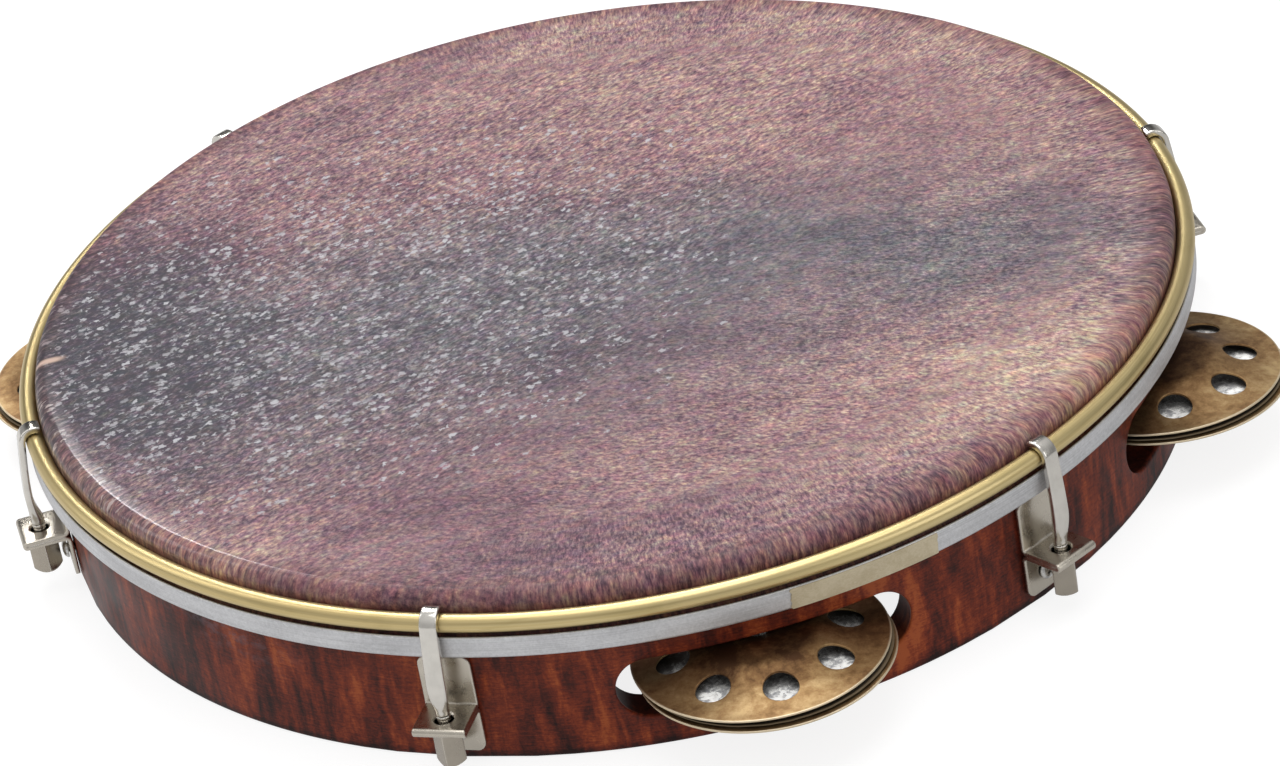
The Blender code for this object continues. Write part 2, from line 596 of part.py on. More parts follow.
def main():
    clear_scene()
    parts = make_collection("pandeiro")
    cutters = make_collection("cutters")
    wood = make_material("shell_wood", (0.16, 0.045, 0.025), 0.45, 0.0)
    film = make_material("head_film", (0.42, 0.30, 0.32), 0.55, 0.0)
    aluminium = make_material("flesh_hoop_aluminium", (0.62, 0.63, 0.65), 0.35, 1.0)
    resin = make_material("resin", (0.05, 0.04, 0.03), 0.5, 0.0)
    tape = make_material("splice_tape", (0.55, 0.50, 0.38), 0.6, 0.0)
    brass = make_material("counterhoop_brass", (0.72, 0.56, 0.24), 0.25, 1.0)
    nickel = make_material("nickel_plate", (0.66, 0.62, 0.57), 0.2, 1.0)
    steel = make_material("fastener_steel", (0.6, 0.6, 0.6), 0.3, 1.0)
    bronze = make_material("jingle_bronze", (0.40, 0.27, 0.15), 0.35, 1.0)
    damper_steel = make_material("damper_steel", (0.7, 0.7, 0.7), 0.3, 1.0)

    make_shell(parts, cutters, wood)
    make_head(parts, film)
    make_flesh_hoop(parts, aluminium)
    make_resin(parts, resin)
    make_splice_tape(parts, tape)
    make_counterhoop(parts, brass)
    make_tension_stations(parts, cutters, nickel, steel)
    make_jingle_sets(parts, cutters, bronze, damper_steel, steel)


main()
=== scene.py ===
"""Looks of a ten-inch pandeiro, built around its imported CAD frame.

Lengths in this script are millimetres until a mesh is made; the frame is in metres.
Every piece of hardware is modelled with X outward, Y along the rim and Z up, then turned to its place.
"""

import json
import math

import bmesh
import bpy
import numpy as np
from mathutils import Matrix, Vector, noise


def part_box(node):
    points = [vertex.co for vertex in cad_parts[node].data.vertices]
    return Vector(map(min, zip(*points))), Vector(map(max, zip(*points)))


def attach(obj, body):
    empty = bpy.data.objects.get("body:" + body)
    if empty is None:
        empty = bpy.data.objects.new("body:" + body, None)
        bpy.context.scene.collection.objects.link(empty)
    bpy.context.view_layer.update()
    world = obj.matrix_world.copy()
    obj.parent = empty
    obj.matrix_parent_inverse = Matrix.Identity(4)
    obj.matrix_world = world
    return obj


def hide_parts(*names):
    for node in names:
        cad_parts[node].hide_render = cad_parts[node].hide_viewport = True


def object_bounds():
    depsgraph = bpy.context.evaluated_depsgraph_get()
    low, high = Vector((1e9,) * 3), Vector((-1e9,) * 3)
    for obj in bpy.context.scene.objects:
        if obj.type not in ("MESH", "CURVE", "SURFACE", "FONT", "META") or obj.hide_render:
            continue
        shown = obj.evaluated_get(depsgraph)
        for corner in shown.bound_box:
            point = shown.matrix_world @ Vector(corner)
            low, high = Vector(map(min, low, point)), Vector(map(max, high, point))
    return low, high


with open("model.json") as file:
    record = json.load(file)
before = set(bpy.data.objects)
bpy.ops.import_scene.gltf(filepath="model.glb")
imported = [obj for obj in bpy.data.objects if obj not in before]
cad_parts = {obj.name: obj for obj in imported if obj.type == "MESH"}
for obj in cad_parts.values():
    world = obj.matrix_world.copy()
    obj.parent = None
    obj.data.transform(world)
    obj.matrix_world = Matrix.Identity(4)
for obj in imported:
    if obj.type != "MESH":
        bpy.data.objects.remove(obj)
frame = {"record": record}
cad_low, cad_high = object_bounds()

MM = 0.001
WALL = 9.2
BEARING_EDGE = 2.4          # radius of the shell's rounded upper edge
JINGLE_SHEET = 0.5
STATIONS = range(6)
JINGLE_BAYS = (0, 1, 2, 4, 5)
GRIP_BAY = 3
HOOK_LEAN = {0: 0.9, 1: 0.0, 2: 0.0, 3: -1.4, 4: 0.4, 5: 1.2}
JINGLE_TURN = {0: 14.0, 1: 5.0, 2: 30.0, 4: -1.9, 5: 23.0}


# ---------------------------------------------------------------- sizes read from the frame

def extent(node):
    """Lowest and highest corner of a CAD node, in millimetres."""
    low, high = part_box(node)
    return np.array(low) / MM, np.array(high) / MM


def place_of(node):
    """Radius, azimuth and height of a CAD node's centre."""
    low, high = extent(node)
    middle = (low + high) / 2
    return math.hypot(middle[0], middle[1]), math.atan2(middle[1], middle[0]), middle[2]


SHELL_RADIUS, _, SHELL_HEIGHT = extent("shell")[1]
HALF_BAY_TURN = math.pi / 6
HALF_BAY = SHELL_RADIUS * HALF_BAY_TURN
SHELL_INNER = SHELL_RADIUS - WALL
HEAD_TOP = extent("head_membrane")[1][2]
HOOP_LOW, HOOP_HIGH = (corner[2] for corner in extent("flesh_hoop"))
HOOP_RADIUS = extent("flesh_hoop")[1][0]
BAR_RADIUS = (extent("counterhoop")[1][2] - extent("counterhoop")[0][2]) / 2
BAR_HEIGHT = extent("counterhoop")[0][2] + BAR_RADIUS
BAR_RING = extent("counterhoop")[1][0] - BAR_RADIUS
ROD_PLACE = place_of("tension_nut_0")[0]
PIN_PLACE = place_of("jingle_pin_0")[0]
PLATE_TOP = 14.7            # height of the brackets' shelf


# ---------------------------------------------------------------- mesh tools

def shifted(x=0.0, y=0.0, z=0.0):
    return Matrix.Translation((x * MM, y * MM, z * MM))


def spun(radians, axis="Z"):
    return Matrix.Rotation(radians, 4, axis)


def polar(radius, turn, height):
    return (radius * math.cos(turn), radius * math.sin(turn), height)


def arc(centre, radius, start, end, steps):
    turns = np.radians(np.linspace(start, end, steps + 1))
    return [(centre[0] + radius * math.cos(t), centre[1] + radius * math.sin(t)) for t in turns]


def filleted(corners, steps=5, closed=True):
    """A polyline whose (x, y, radius) corners are rounded."""
    points = []
    count = len(corners)
    for i, (x, y, radius) in enumerate(corners):
        here = Vector((x, y))
        if radius <= 0 or (not closed and i in (0, count - 1)):
            points.append((x, y))
            continue
        before = Vector(corners[i - 1][:2]) - here
        after = Vector(corners[(i + 1) % count][:2]) - here
        before.normalize()
        after.normalize()
        half = before.angle(after) / 2
        reach = radius / math.tan(half)
        centre = here + (before + after).normalized() * radius / math.sin(half)
        first = here + before * reach - centre
        sweep = first.angle_signed(here + after * reach - centre)
        for k in range(steps + 1):
            points.append(tuple(centre + Matrix.Rotation(-sweep * k / steps, 2) @ first))
    return points


class Builder:
    """Collects grids of points, in millimetres, and makes one closed mesh of them."""

    def __init__(self):
        self.points = []
        self.faces = []
        self.count = 0

    def grid(self, points, wrap_rows=False, wrap_columns=True):
        points = np.asarray(points, float)
        rows, columns = points.shape[:2]
        first = np.arange(rows if wrap_rows else rows - 1)
        second = np.arange(columns if wrap_columns else columns - 1)
        r, c = np.meshgrid(first, second, indexing="ij")
        r2, c2 = (r + 1) % rows, (c + 1) % columns
        quads = np.stack([r * columns + c, r * columns + c2, r2 * columns + c2, r2 * columns + c], -1)
        self.points.append(points.reshape(-1, 3))
        self.faces += (quads.reshape(-1, 4) + self.count).tolist()
        self.count += rows * columns

    def tube(self, rows, *ends):
        """Rows of points that close on themselves, with the given rows filled in."""
        self.grid(rows)
        for ring in ends:
            self.points.append(np.asarray(ring, float))
            self.faces.append(list(range(self.count, self.count + len(ring))))
            self.count += len(ring)

    def mesh(self, name, sharp=35.0):
        mesh = bpy.data.meshes.new(name)
        mesh.from_pydata((np.concatenate(self.points) * MM).tolist(), [], self.faces)
        merge = 0.002 * MM
        work = bmesh.new()
        work.from_mesh(mesh)
        bmesh.ops.remove_doubles(work, verts=work.verts, dist=merge)
        bmesh.ops.dissolve_degenerate(work, edges=work.edges, dist=merge * 0.1)
        bmesh.ops.recalc_face_normals(work, faces=work.faces)
        work.to_mesh(mesh)
        work.free()
        smooth(mesh, sharp)
        return mesh


def smooth(mesh, sharp):
    mesh.shade_smooth()
    mesh.set_sharp_from_angle(angle=math.radians(sharp))


def turned(profile, segments):
    """Points of a profile of (radius, height) turned about Z."""
    profile = np.asarray(profile, float)
    turns = np.linspace(0, 2 * math.pi, segments, endpoint=False)
    radius = profile[:, 0][:, None]
    height = np.repeat(profile[:, 1][:, None], segments, 1)
    return np.stack([radius * np.cos(turns), radius * np.sin(turns), height], -1)


def turned_mesh(name, profile, segments, closed=False, sharp=35.0):
    build = Builder()
    build.grid(turned(profile, segments), wrap_rows=closed)
    return build.mesh(name, sharp)


def cutter(name, profile, segments, place):
    """A turned solid, moved to where it cuts."""
    mesh = turned_mesh(name, profile, segments)
    mesh.transform(place)
    return mesh


def cut(mesh, tool_mesh, sharp=35.0):
    """The mesh with another mesh cut from it."""
    target = bpy.data.objects.new("boolean_target", mesh)
    tool = bpy.data.objects.new("boolean_tool", tool_mesh)
    for obj in (target, tool):
        bpy.context.scene.collection.objects.link(obj)
    modifier = target.modifiers.new("cut", "BOOLEAN")
    modifier.operation = "DIFFERENCE"
    modifier.solver = "EXACT"
    modifier.object = tool
    bpy.context.view_layer.update()
    graph = bpy.context.evaluated_depsgraph_get()
    result = bpy.data.meshes.new_from_object(target.evaluated_get(graph), depsgraph=graph)
    result.name = mesh.name
    for obj in (target, tool):
        bpy.data.objects.remove(obj, do_unlink=True)
    smooth(result, sharp)
    return result


def joined(meshes, name):
    work = bmesh.new()
    for mesh in meshes:
        work.from_mesh(mesh)
    result = bpy.data.meshes.new(name)
    work.to_mesh(result)
    work.free()
    return result


def body_of(node):
    for body, nodes in frame["record"]["behaviour"]["bodies"].items():
        if node in nodes:
            return body
    raise KeyError(node)


def add_piece(name, mesh, material, node, matrix=None):
    """A visible piece that stands for a CAD node and rides on its body."""
    if matrix is not None:
        mesh = mesh.copy()
        mesh.transform(matrix.to_3x3().to_4x4())
    obj = bpy.data.objects.new(name, mesh)
    bpy.context.scene.collection.objects.link(obj)
    mesh.materials.append(material)
    if matrix is not None:
        obj.location = matrix.to_translation()
    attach(obj, body_of(node))
    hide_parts(node)


# ---------------------------------------------------------------- material tools

FLAT = (1, 1, 0)            # keeps X and Y only
HALF = (0.5, 0.5, 0.5)      # the middle of a noise colour


def rgb(red, green, blue):
    """A colour given as 0-255 screen values, made linear."""
    def linear(value):
        value /= 255
        return value / 12.92 if value <= 0.04045 else ((value + 0.055) / 1.055) ** 2.4
    return (linear(red), linear(green), linear(blue), 1.0)


class Value:
    """A node's output, for sums and products with numbers, triples and other values."""

    def __init__(self, graph, socket):
        self.graph = graph
        self.socket = socket
        self.wide = socket.type in ("VECTOR", "RGBA")

    def __add__(self, other):
        return self.graph.combine("ADD", self, other)

    def __sub__(self, other):
        return self.graph.combine("SUBTRACT", self, other)

    def __mul__(self, other):
        return self.graph.combine("MULTIPLY", self, other)

    def __rsub__(self, other):
        return self.graph.combine("SUBTRACT", other, self)

    def __rmul__(self, other):
        return self.graph.combine("MULTIPLY", other, self)


class Graph:
    """A node tree, written as expressions."""

    def __init__(self, tree):
        self.tree = tree

    def put(self, socket, value):
        if isinstance(value, Value):
            self.tree.links.new(value.socket, socket)
        elif value is not None:
            socket.default_value = value

    def node(self, kind, inputs=None, output=0, **settings):
        made = self.tree.nodes.new("ShaderNode" + kind)
        for key, value in settings.items():
            setattr(made, key, value)
        for key, value in (inputs or {}).items():
            self.put(made.inputs[key], value)
        return Value(self, made.outputs[output])

    def math(self, operation, first, second):
        return self.node("Math", {0: first, 1: second}, operation=operation)

    def vector(self, operation, first, second=None, output="Vector"):
        return self.node("VectorMath", {0: first, 1: second}, output, operation=operation)

    def combine(self, operation, first, second):
        def wide(value):
            return isinstance(value, tuple) or getattr(value, "wide", False)
        if operation == "MULTIPLY" and wide(first) and not wide(second):
            return self.node("VectorMath", {0: first, "Scale": second}, operation="SCALE")
        return (self.vector if wide(first) or wide(second) else self.math)(operation, first, second)

    def ramp(self, value, low, high, to_low=0.0, to_high=1.0, kind="SMOOTHSTEP"):
        return self.node("MapRange", {
            "Value": value, "From Min": low, "From Max": high, "To Min": to_low, "To Max": to_high},
            interpolation_type=kind)


class Shade(Graph):
    """A material's nodes."""

    def __init__(self, name):
        self.material = bpy.data.materials.new(name)
        self.material.use_nodes = True
        super().__init__(self.material.node_tree)
        self.shader = self.tree.nodes["Principled BSDF"]

    def done(self, **inputs):
        for key, value in inputs.items():
            self.put(self.shader.inputs[key.replace("_", " ")], value)
        return self.material

    def place(self, spread=None):
        """Object coordinates in millimetres, moved by each object's own luck along the spread."""
        place = self.node("TexCoord", output="Object") * (1 / MM)
        if spread is None:
            return place
        return place + spread * self.node("ObjectInfo", output="Random")

    def length(self, vector):
        return self.vector("LENGTH", vector, output="Value")

    def grey(self, colour, amount):
        """How far a grey colour lies from the middle, as a number."""
        return self.math("SUBTRACT", colour, 0.5) * amount

    def split(self, vector):
        made = self.node("SeparateXYZ", {"Vector": vector})
        return [Value(self, output) for output in made.socket.node.outputs]

    def triple(self, x, y, z=None):
        return self.node("CombineXYZ", {"X": x, "Y": y, "Z": z})

    def mapped(self, vector, turn, scale=(1, 1, 1), move=(0, 0, 0)):
        """The point moved, turned about Z by minus turn degrees, then scaled."""
        moved = {"Vector": vector - move, "Rotation": (0, 0, -math.radians(turn))}
        return self.node("Mapping", moved) * scale

    def noise(self, place, scale, detail=2.0, rough=0.5, distort=0.0, output="Fac"):
        if isinstance(scale, tuple):
            place, scale = place * scale, 1.0
        return self.node("TexNoise", {
            "Vector": place, "Scale": scale, "Detail": detail, "Roughness": rough, "Distortion": distort}, output)

    def cells(self, vector, scale=1.0):
        """Distance to the cell's centre, and the cell's own three chance numbers."""
        distance = self.node("TexVoronoi", {"Vector": vector, "Scale": scale}, "Distance")
        return distance, Value(self, distance.socket.node.outputs["Color"])

    def colours(self, value, stops):
        made = self.node("ValToRGB", {"Fac": value}, "Color")
        elements = made.socket.node.color_ramp.elements
        while len(elements) < len(stops):
            elements.new(0.5)
        for element, (place, colour) in zip(elements, stops):
            element.position = place
            element.color = colour if len(colour) == 4 else rgb(*colour)
        return made

    def blend(self, value, low, high, first, second):
        return self.colours(self.ramp(value, low, high), [(0.0, first), (1.0, second)])

    def mix(self, factor, first, second):
        return self.node("Mix", {"Factor": factor, 6: first, 7: second}, 2, data_type="RGBA")

    def blob(self, vector, centre, size, turn=0.0, soft=0.6):
        """1 inside an ellipse and 0 outside it, with a soft border."""
        scale = (1 / size[0], 1 / size[1], 0)
        return self.ramp(self.length(self.mapped(vector, turn, scale, (*centre, 0))), 1 + soft, 1 - soft)

    def bump(self, height, strength, distance, normal=None):
        return self.node("Bump", {
            "Height": height, "Strength": strength, "Distance": distance * MM, "Normal": normal})


# ---------------------------------------------------------------- materials

def wood_material():
    """Dark red, glossy, with a flame figure that stands across the grain."""
    s = Shade("figured_wood")
    p = s.place()
    x, y, z = s.split(p)
    radius = s.length(p * FLAT)
    wander = s.noise(p, (0.05, 0.05, 0.06))
    flame = s.noise(p, (0.15, 0.15, 0.035), 3.0, 0.55, 0.9)
    patches = s.noise(p, (0.045, 0.045, 0.05), 2.0, 0.5, 0.4)
    ripple = s.noise(p, (0.42, 0.42, 0.10), 3.0, 0.6, 0.8)
    grain = s.noise(p, (0.30, 0.30, 2.6), 4.0, 0.7, 0.25)
    speck = s.noise(p, (1.3, 1.3, 2.2), 3.0, 0.7)
    tone = flame * 0.70 + patches * 0.36 + (ripple - 0.5) * 0.42 + (grain - 0.5) * 0.32 + (speck - 0.5) * 0.30
    tone = tone - s.ramp(z, 2.4, 0.4, 0.0, 0.16) + s.blob(p, (12, -117), (62, 60), 0, 0.9) * 0.05
    colour = s.colours(s.ramp(tone, 0.36, 0.76, kind="LINEAR"), [
        (0.0, (38, 20, 19)), (0.30, (76, 33, 26)), (0.56, (108, 44, 29)), (0.8, (136, 60, 34)),
        (1.0, (160, 80, 43))])
    pores = s.ramp(s.noise(p, (0.5, 0.5, 5.0)), 0.66, 0.74)
    colour = s.mix(pores * 0.45, colour, rgb(34, 18, 16))
    # painted shade: the slot walls and the shell's inside are darkened nearly to black
    slot = s.ramp(radius, SHELL_RADIUS - 0.35, SHELL_RADIUS - 1.2)
    colour = s.mix(slot * 0.72, colour, rgb(36, 19, 17))
    # a grey-blue patch high on the shell's left front, broken up by noise
    grey_patch = s.blob(s.triple(x, z), (-92, 24), (12, 5), -20, 0.9)
    patch_breakup = s.ramp(s.noise(p, (0.25, 0.25, 0.4), 4.0, 0.7), 0.46, 0.62)
    grey_patch = grey_patch * patch_breakup * s.ramp(y, 0.0, -20.0)
    colour = s.mix(grey_patch * 0.5, colour, rgb(106, 86, 92))
    return s.done(
        Base_Color=colour, Roughness=s.ramp(wander, 0.3, 0.7, 0.30, 0.46), Coat_Weight=0.03, Coat_Roughness=0.20,
        Specular_IOR_Level=s.ramp(slot, 0.0, 1.0, 0.14, 0.02), Normal=s.bump(grain * 0.6 + pores * -0.8, 0.25, 0.08))


def hide_material():
    """The printed hide: short strokes of plum, rose and tan, a slate cloud across the middle and pale flecks."""
    s = Shade("printed_hide")
    p = s.node("Attribute", output="Vector", attribute_name="print")
    x, y, _ = s.split(p)
    shift = (s.noise(p, 0.045, 4.0, 0.6, output="Color") - HALF) * 46.0
    q = p + shift

    def zones(places):
        """Sum of soft ellipses: centre, half axes, turn in degrees, amount."""
        total = 0.0
        for centre, size, turn, amount in places:
            total = s.blob(q, centre, size, turn, 0.8) * amount + total
        return total

    def strokes(place, along, across, detail, rough):
        return s.noise(place, (1 / along, 1 / across, 1), detail, rough)

    side = s.ramp(x - y, -10.0, 95.0)
    left = s.mapped(p, 34.0)
    right = s.mapped(p, -24.0)
    reach = s.length(p * FLAT)
    outward = s.triple(reach, s.math("ARCTAN2", y, x) * 118.0)
    rim_side = s.ramp(reach, 92.0, 112.0) * s.ramp(x, -60.0, 0.0)
    fine = s.mix(side, strokes(left, 1.7, 0.95, 3.0, 0.72), strokes(right, 1.35, 0.80, 3.0, 0.75))
    fine = s.mix(rim_side, fine, strokes(outward, 1.8, 0.80, 3.0, 0.75))
    middle = s.mix(side, strokes(left, 7.0, 3.6, 2.0, 0.6), strokes(right, 6.0, 3.6, 2.0, 0.6))
    broad = strokes(s.mapped(p, 8.0), 30.0, 14.0, 3.0, 0.6)

    warmth = zones([
        ((62, 88), (95, 48), -25, 0.10), ((104, -62), (34, 60), 14, 0.16), ((70, -92), (62, 34), 35, 0.14),
        ((-92, -72), (52, 12), -48, 0.15), ((-52, -90), (50, 16), -22, -0.08), ((22, -116), (70, 12), 4, -0.12),
        ((-70, 84), (46, 30), 40, -0.02)])
    slate = s.math("MINIMUM", 1.0, zones([
        ((-42, 4), (92, 30), -2, 0.75), ((34, -14), (80, 34), -4, 0.50), ((-110, 8), (26, 48), 6, 0.65),
        ((-76, -36), (50, 30), 0, 0.50), ((-14, -52), (60, 18), 4, 0.30), ((92, -24), (52, 15), -22, 0.50)]))
    gloom = zones([
        ((30, -2), (60, 7), -3, 0.10), ((-4, -36), (30, 10), 4, 0.10), ((-12, 34), (24, 8), -14, 0.10),
        ((-112, 4), (30, 60), 6, 0.30), ((-78, 44), (40, 10), 10, 0.06), ((-66, -30), (60, 60), 0, 0.08),
        ((100, -30), (34, 20), -10, 0.16)])
    tone = s.grey(fine, 2.3) + 0.40
    tone = s.grey(middle, 0.62) + tone
    tone = (broad - 0.5) * 0.50 + tone + warmth - gloom
    skin = s.colours(tone, [
        (0.0, (70, 46, 62)), (0.28, (114, 84, 94)), (0.50, (148, 116, 117)), (0.72, (176, 148, 136)),
        (1.0, (216, 194, 166))])
    stone = s.colours(tone, [
        (0.0, (54, 52, 60)), (0.28, (86, 82, 90)), (0.50, (112, 106, 112)), (0.72, (138, 130, 132)),
        (1.0, (180, 172, 168))])
    tint = s.noise(s.mapped(p, 10.0), (0.30, 0.48, 1), 3.0, 0.65, output="Color")
    colour = s.mix(slate * 0.9, skin, stone) * ((tint - HALF) * (1.0, 0.75, 0.65) + (1.0, 1.0, 1.0))

    # pale flecks on the left, dark pits on the right
    clumps = s.noise(p, (0.07, 0.07, 1), 3.0, 0.6)
    amount = s.blob(p, (-58, 2), (78, 66), 14, 0.45) * s.ramp(clumps, 0.30, 0.60, 0.35, 1.05)
    bent = left + (s.noise(p, 0.9, output="Color") - HALF) * 2.6
    flecks = 0.0
    for k, scale in enumerate(((0.36, 0.60, 0), (0.50, 0.86, 0))):
        centre, chances = s.cells(bent * scale + (17.0 * k, 5.0 * k, 0))
        luck, glow, size = s.split(chances)
        dot = s.ramp(size * 0.22 + centre, 0.50, 0.26) * s.ramp(amount * 0.82 - luck, -0.03, 0.06)
        flecks = s.math("MAXIMUM", flecks, dot * (glow * 0.60 + 0.40))
    colour = s.mix(flecks * 0.90, colour, rgb(184, 183, 187))
    centre, chances = s.cells(s.mix(rim_side, right, outward) * (0.42, 0.62, 1))
    luck, _, size = s.split(chances)
    pit = s.ramp(size * 0.18 + centre, 0.40, 0.20) * s.ramp(luck, 0.42, 0.36) * s.ramp(x, -10.0, 50.0)
    colour = s.mix(pit * 0.55, colour, colour * (0.42, 0.38, 0.50))

    # the ridge, the collar below it with painted shade and a painted reflection of the brass at its foot, and the
    # scuffed spots
    place = s.place()
    plan = place * FLAT
    height = s.split(place)[2]
    radius = s.length(plan)
    tan_side = s.blob(plan, (-128, -62), (56, 62), 0, 0.5)
    plum = s.ramp(radius, 118.5, 125.5) * (1.0 - tan_side)
    colour = s.mix(plum * 0.70, colour, colour * (0.64, 0.44, 0.44))
    collar = s.ramp(radius, 122.0, 126.0) * tan_side
    colour = s.mix(collar * 0.6, colour, colour * (1.02, 0.72, 0.56))
    # painted shade and painted reflection of the brass: the collar's foot turns dark orange-brown, and sandy on the
    # left front
    foot_shade = s.ramp(height, HEAD_TOP - 2.6, HEAD_TOP - 5.6)
    sandy = s.mix(0.5, colour * (1.0, 0.82, 0.66), rgb(168, 138, 112))
    colour = s.mix(foot_shade * 0.85, colour, s.mix(tan_side * 0.75, colour * (0.62, 0.38, 0.24), sandy))
    shine = s.blob(plan, (-112, -62), (26, 52), 28, 0.5)
    scuff = s.blob(p + shift * 0.06, (-123.6, 3.6), (2.6, 1.0), 8, 0.6)
    colour = s.mix(scuff * 0.75, colour, rgb(212, 182, 164))
    return s.done(
        Base_Color=colour, Roughness=0.55, Coat_Weight=s.ramp(radius, 121.0, 124.5) * (shine * 0.55 + 0.05),
        Coat_Roughness=0.14, Specular_IOR_Level=0.30,
        Normal=s.bump(s.math("ADD", s.math("MULTIPLY", fine, 0.7), s.math("MULTIPLY", middle, 0.5)), 0.10, 0.06))


def brass_material():
    """Drawn brass bar with lengthwise draw lines and a little tarnish."""
    s = Shade("drawn_brass")
    p = s.place()
    x, y, z = s.split(p)
    around_bar = s.math("ARCTAN2", z - BAR_HEIGHT, s.length(p * FLAT) - BAR_RING)
    lines = s.noise(s.triple(around_bar * 3.0, x * 0.006, y * 0.006), 1.0, 5.0, 0.7)
    stain = s.noise(p, (0.05, 0.05, 0.3), 4.0, 0.6, 0.5)
    colour = s.blend(lines, 0.3, 0.7, (196, 174, 122), (216, 198, 148))
    colour = s.mix(s.ramp(stain, 0.50, 0.75, 0.0, 0.5), colour, rgb(176, 158, 106))
    return s.done(Base_Color=colour, Metallic=1.0, Roughness=s.ramp(lines, 0.3, 0.7, 0.33, 0.42),
                  Normal=s.bump(lines, 0.05, 0.03))


def aluminium_material():
    """Satin channel with fine lengthwise brushing and small scuffs; the pale scuffs on the top lip also paint its
    highlight.
    """
    s = Shade("satin_aluminium")
    p = s.place()
    brushing = s.noise(p, (0.03, 0.03, 7.0), 4.0, 0.7)
    speckle = s.noise(p, (1.6, 1.6, 1.6), 4.0, 0.75)
    tone = brushing * 0.5 + speckle * 0.35 + s.noise(p, (0.08, 0.08, 0.2), 3.0, 0.6) * 0.3
    colour = s.blend(tone, 0.38, 0.78, (176, 176, 178), (224, 224, 226))
    # pale scuffs along the top lip, partly real scuffs and partly a painted highlight on the lip
    lip = s.ramp(s.split(p)[2], HOOP_HIGH - 1.4, HOOP_HIGH)
    scuff = s.ramp(s.noise(p, (0.35, 0.35, 0.9), 4.0, 0.7, 0.8), 0.56, 0.66)
    colour = s.mix(scuff * lip * 0.6, colour, rgb(236, 236, 238))
    dents = s.ramp(s.noise(p, (0.9, 0.9, 1.8), 3.0, 0.7), 0.70, 0.76)
    colour = s.mix(dents * 0.5, colour, rgb(120, 112, 104))
    return s.done(Base_Color=colour, Metallic=0.75, Roughness=s.ramp(tone, 0.3, 0.8, 0.42, 0.56),
                  Normal=s.bump(tone, 0.2, 0.05))


def nickel_material(name, colour, low_rough, high_rough, wear):
    """Plated steel, with faint brushing, hazy patches and a painted highlight along the edges."""
    s = Shade(name)
    p = s.place((31.0, 17.0, 23.0))
    brushing = s.noise(p * (1.2, 1.2, 0.25), 2.0, 4.0, 0.7)
    tone = s.noise(p, 0.22, 3.0, 0.55) * 0.8 + brushing * 0.2
    bright = tuple(min(1.0, channel * 1.12) for channel in colour[:3]) + (1.0,)
    tint = s.blend(tone, 0.35, 0.65, colour, bright)
    nicks = s.ramp(s.noise(p, 1.3, 4.0, 0.75, 0.5), 0.66, 0.74)
    tint = s.mix(nicks * wear, tint, rgb(96, 84, 74))
    # painted highlight: where the rounded normal leans away from the face, the edges are tinted near white
    rounded = s.node("Bevel", {"Radius": 0.45 * MM}, samples=6)
    flat = s.node("NewGeometry", output="Normal")
    edge = s.ramp(s.vector("DOT_PRODUCT", rounded, flat, "Value"), 0.985, 0.90)
    tint = s.mix(edge * 0.7, tint, rgb(250, 246, 238))
    return s.done(Base_Color=tint, Metallic=1.0, Roughness=s.ramp(tone, 0.3, 0.7, low_rough, high_rough),
                  Normal=s.bump(brushing, 0.03, 0.02, rounded))


def bronze_material():
    """Stamped bronze with an aged, mottled patina, and painted shade that darkens it towards the centre."""
    s = Shade("aged_bronze")
    p = s.place()
    q = s.place((41.0, 27.0, 13.0))
    radius = s.length(p * FLAT)
    mottle = s.noise(q, 0.55, 5.0, 0.65, 0.2)
    fine = s.noise(q, 2.6, 4.0, 0.7)
    tone = s.noise(q, 0.10, 4.0, 0.6, 0.4) * 0.7 + mottle * 0.35 + (fine - 0.5) * 0.14
    # painted shade: darker towards the centre, a little lighter towards the rim
    tone = tone + s.ramp(radius, 9.0, 22.0, -0.16, 0.05)
    colour = s.colours(s.ramp(tone, 0.34, 0.72, kind="LINEAR"), [
        (0.0, (82, 57, 39)), (0.35, (128, 97, 65)), (0.65, (162, 130, 90)), (1.0, (196, 168, 124))])
    colour = s.mix(s.ramp(radius, 26.6, 27.0) * 0.8, colour, rgb(232, 218, 190))
    return s.done(Base_Color=colour, Metallic=0.92, Roughness=s.ramp(tone, 0.3, 0.8, 0.54, 0.42),
                  Normal=s.bump(mottle + fine, 0.10, 0.05))


def damper_material():
    """Hammered white metal, with painted shade where the jingles close over it and a painted glow under their holes.
    """
    s = Shade("hammered_steel")
    p = s.place()
    grit = s.noise(p, 0.75, 3.0, 0.6, 0.6)
    tint = s.blend(grit, 0.32, 0.66, (150, 150, 152), (255, 254, 250))
    # painted shade: the rim, between the two jingles, is darkened to a dark olive
    tint = s.mix(s.ramp(s.length(p * FLAT), 25.0, 26.0), tint, rgb(84, 72, 54))
    # painted shade and painted light: ambient occlusion darkens the plate under the jingles, and a painted glow
    # brightens it under their holes
    ao_painted_light = s.ramp(s.node("AmbientOcclusion", {"Distance": 9.0 * MM}, "AO", samples=8), 0.30, 0.55)
    tint = s.mix(ao_painted_light, rgb(30, 26, 22), tint)
    return s.done(Base_Color=tint, Metallic=0.15, Roughness=s.ramp(grit, 0.3, 0.7, 0.35, 0.5), Emission_Color=tint,
                  Emission_Strength=ao_painted_light * 0.45, Normal=s.bump(s.cells(p, 0.36)[0] + grit * 0.5, 0.45, 0.25))


def steel_material():
    s = Shade("bright_steel")
    haze = s.noise(s.place((19.0, 37.0, 29.0)), 0.9, 4.0, 0.65)
    return s.done(Base_Color=s.blend(haze, 0.35, 0.65, (168, 166, 164), (222, 220, 216)), Metallic=1.0,
                  Roughness=s.ramp(haze, 0.3, 0.7, 0.16, 0.34), Normal=s.bump(haze, 0.1, 0.05))


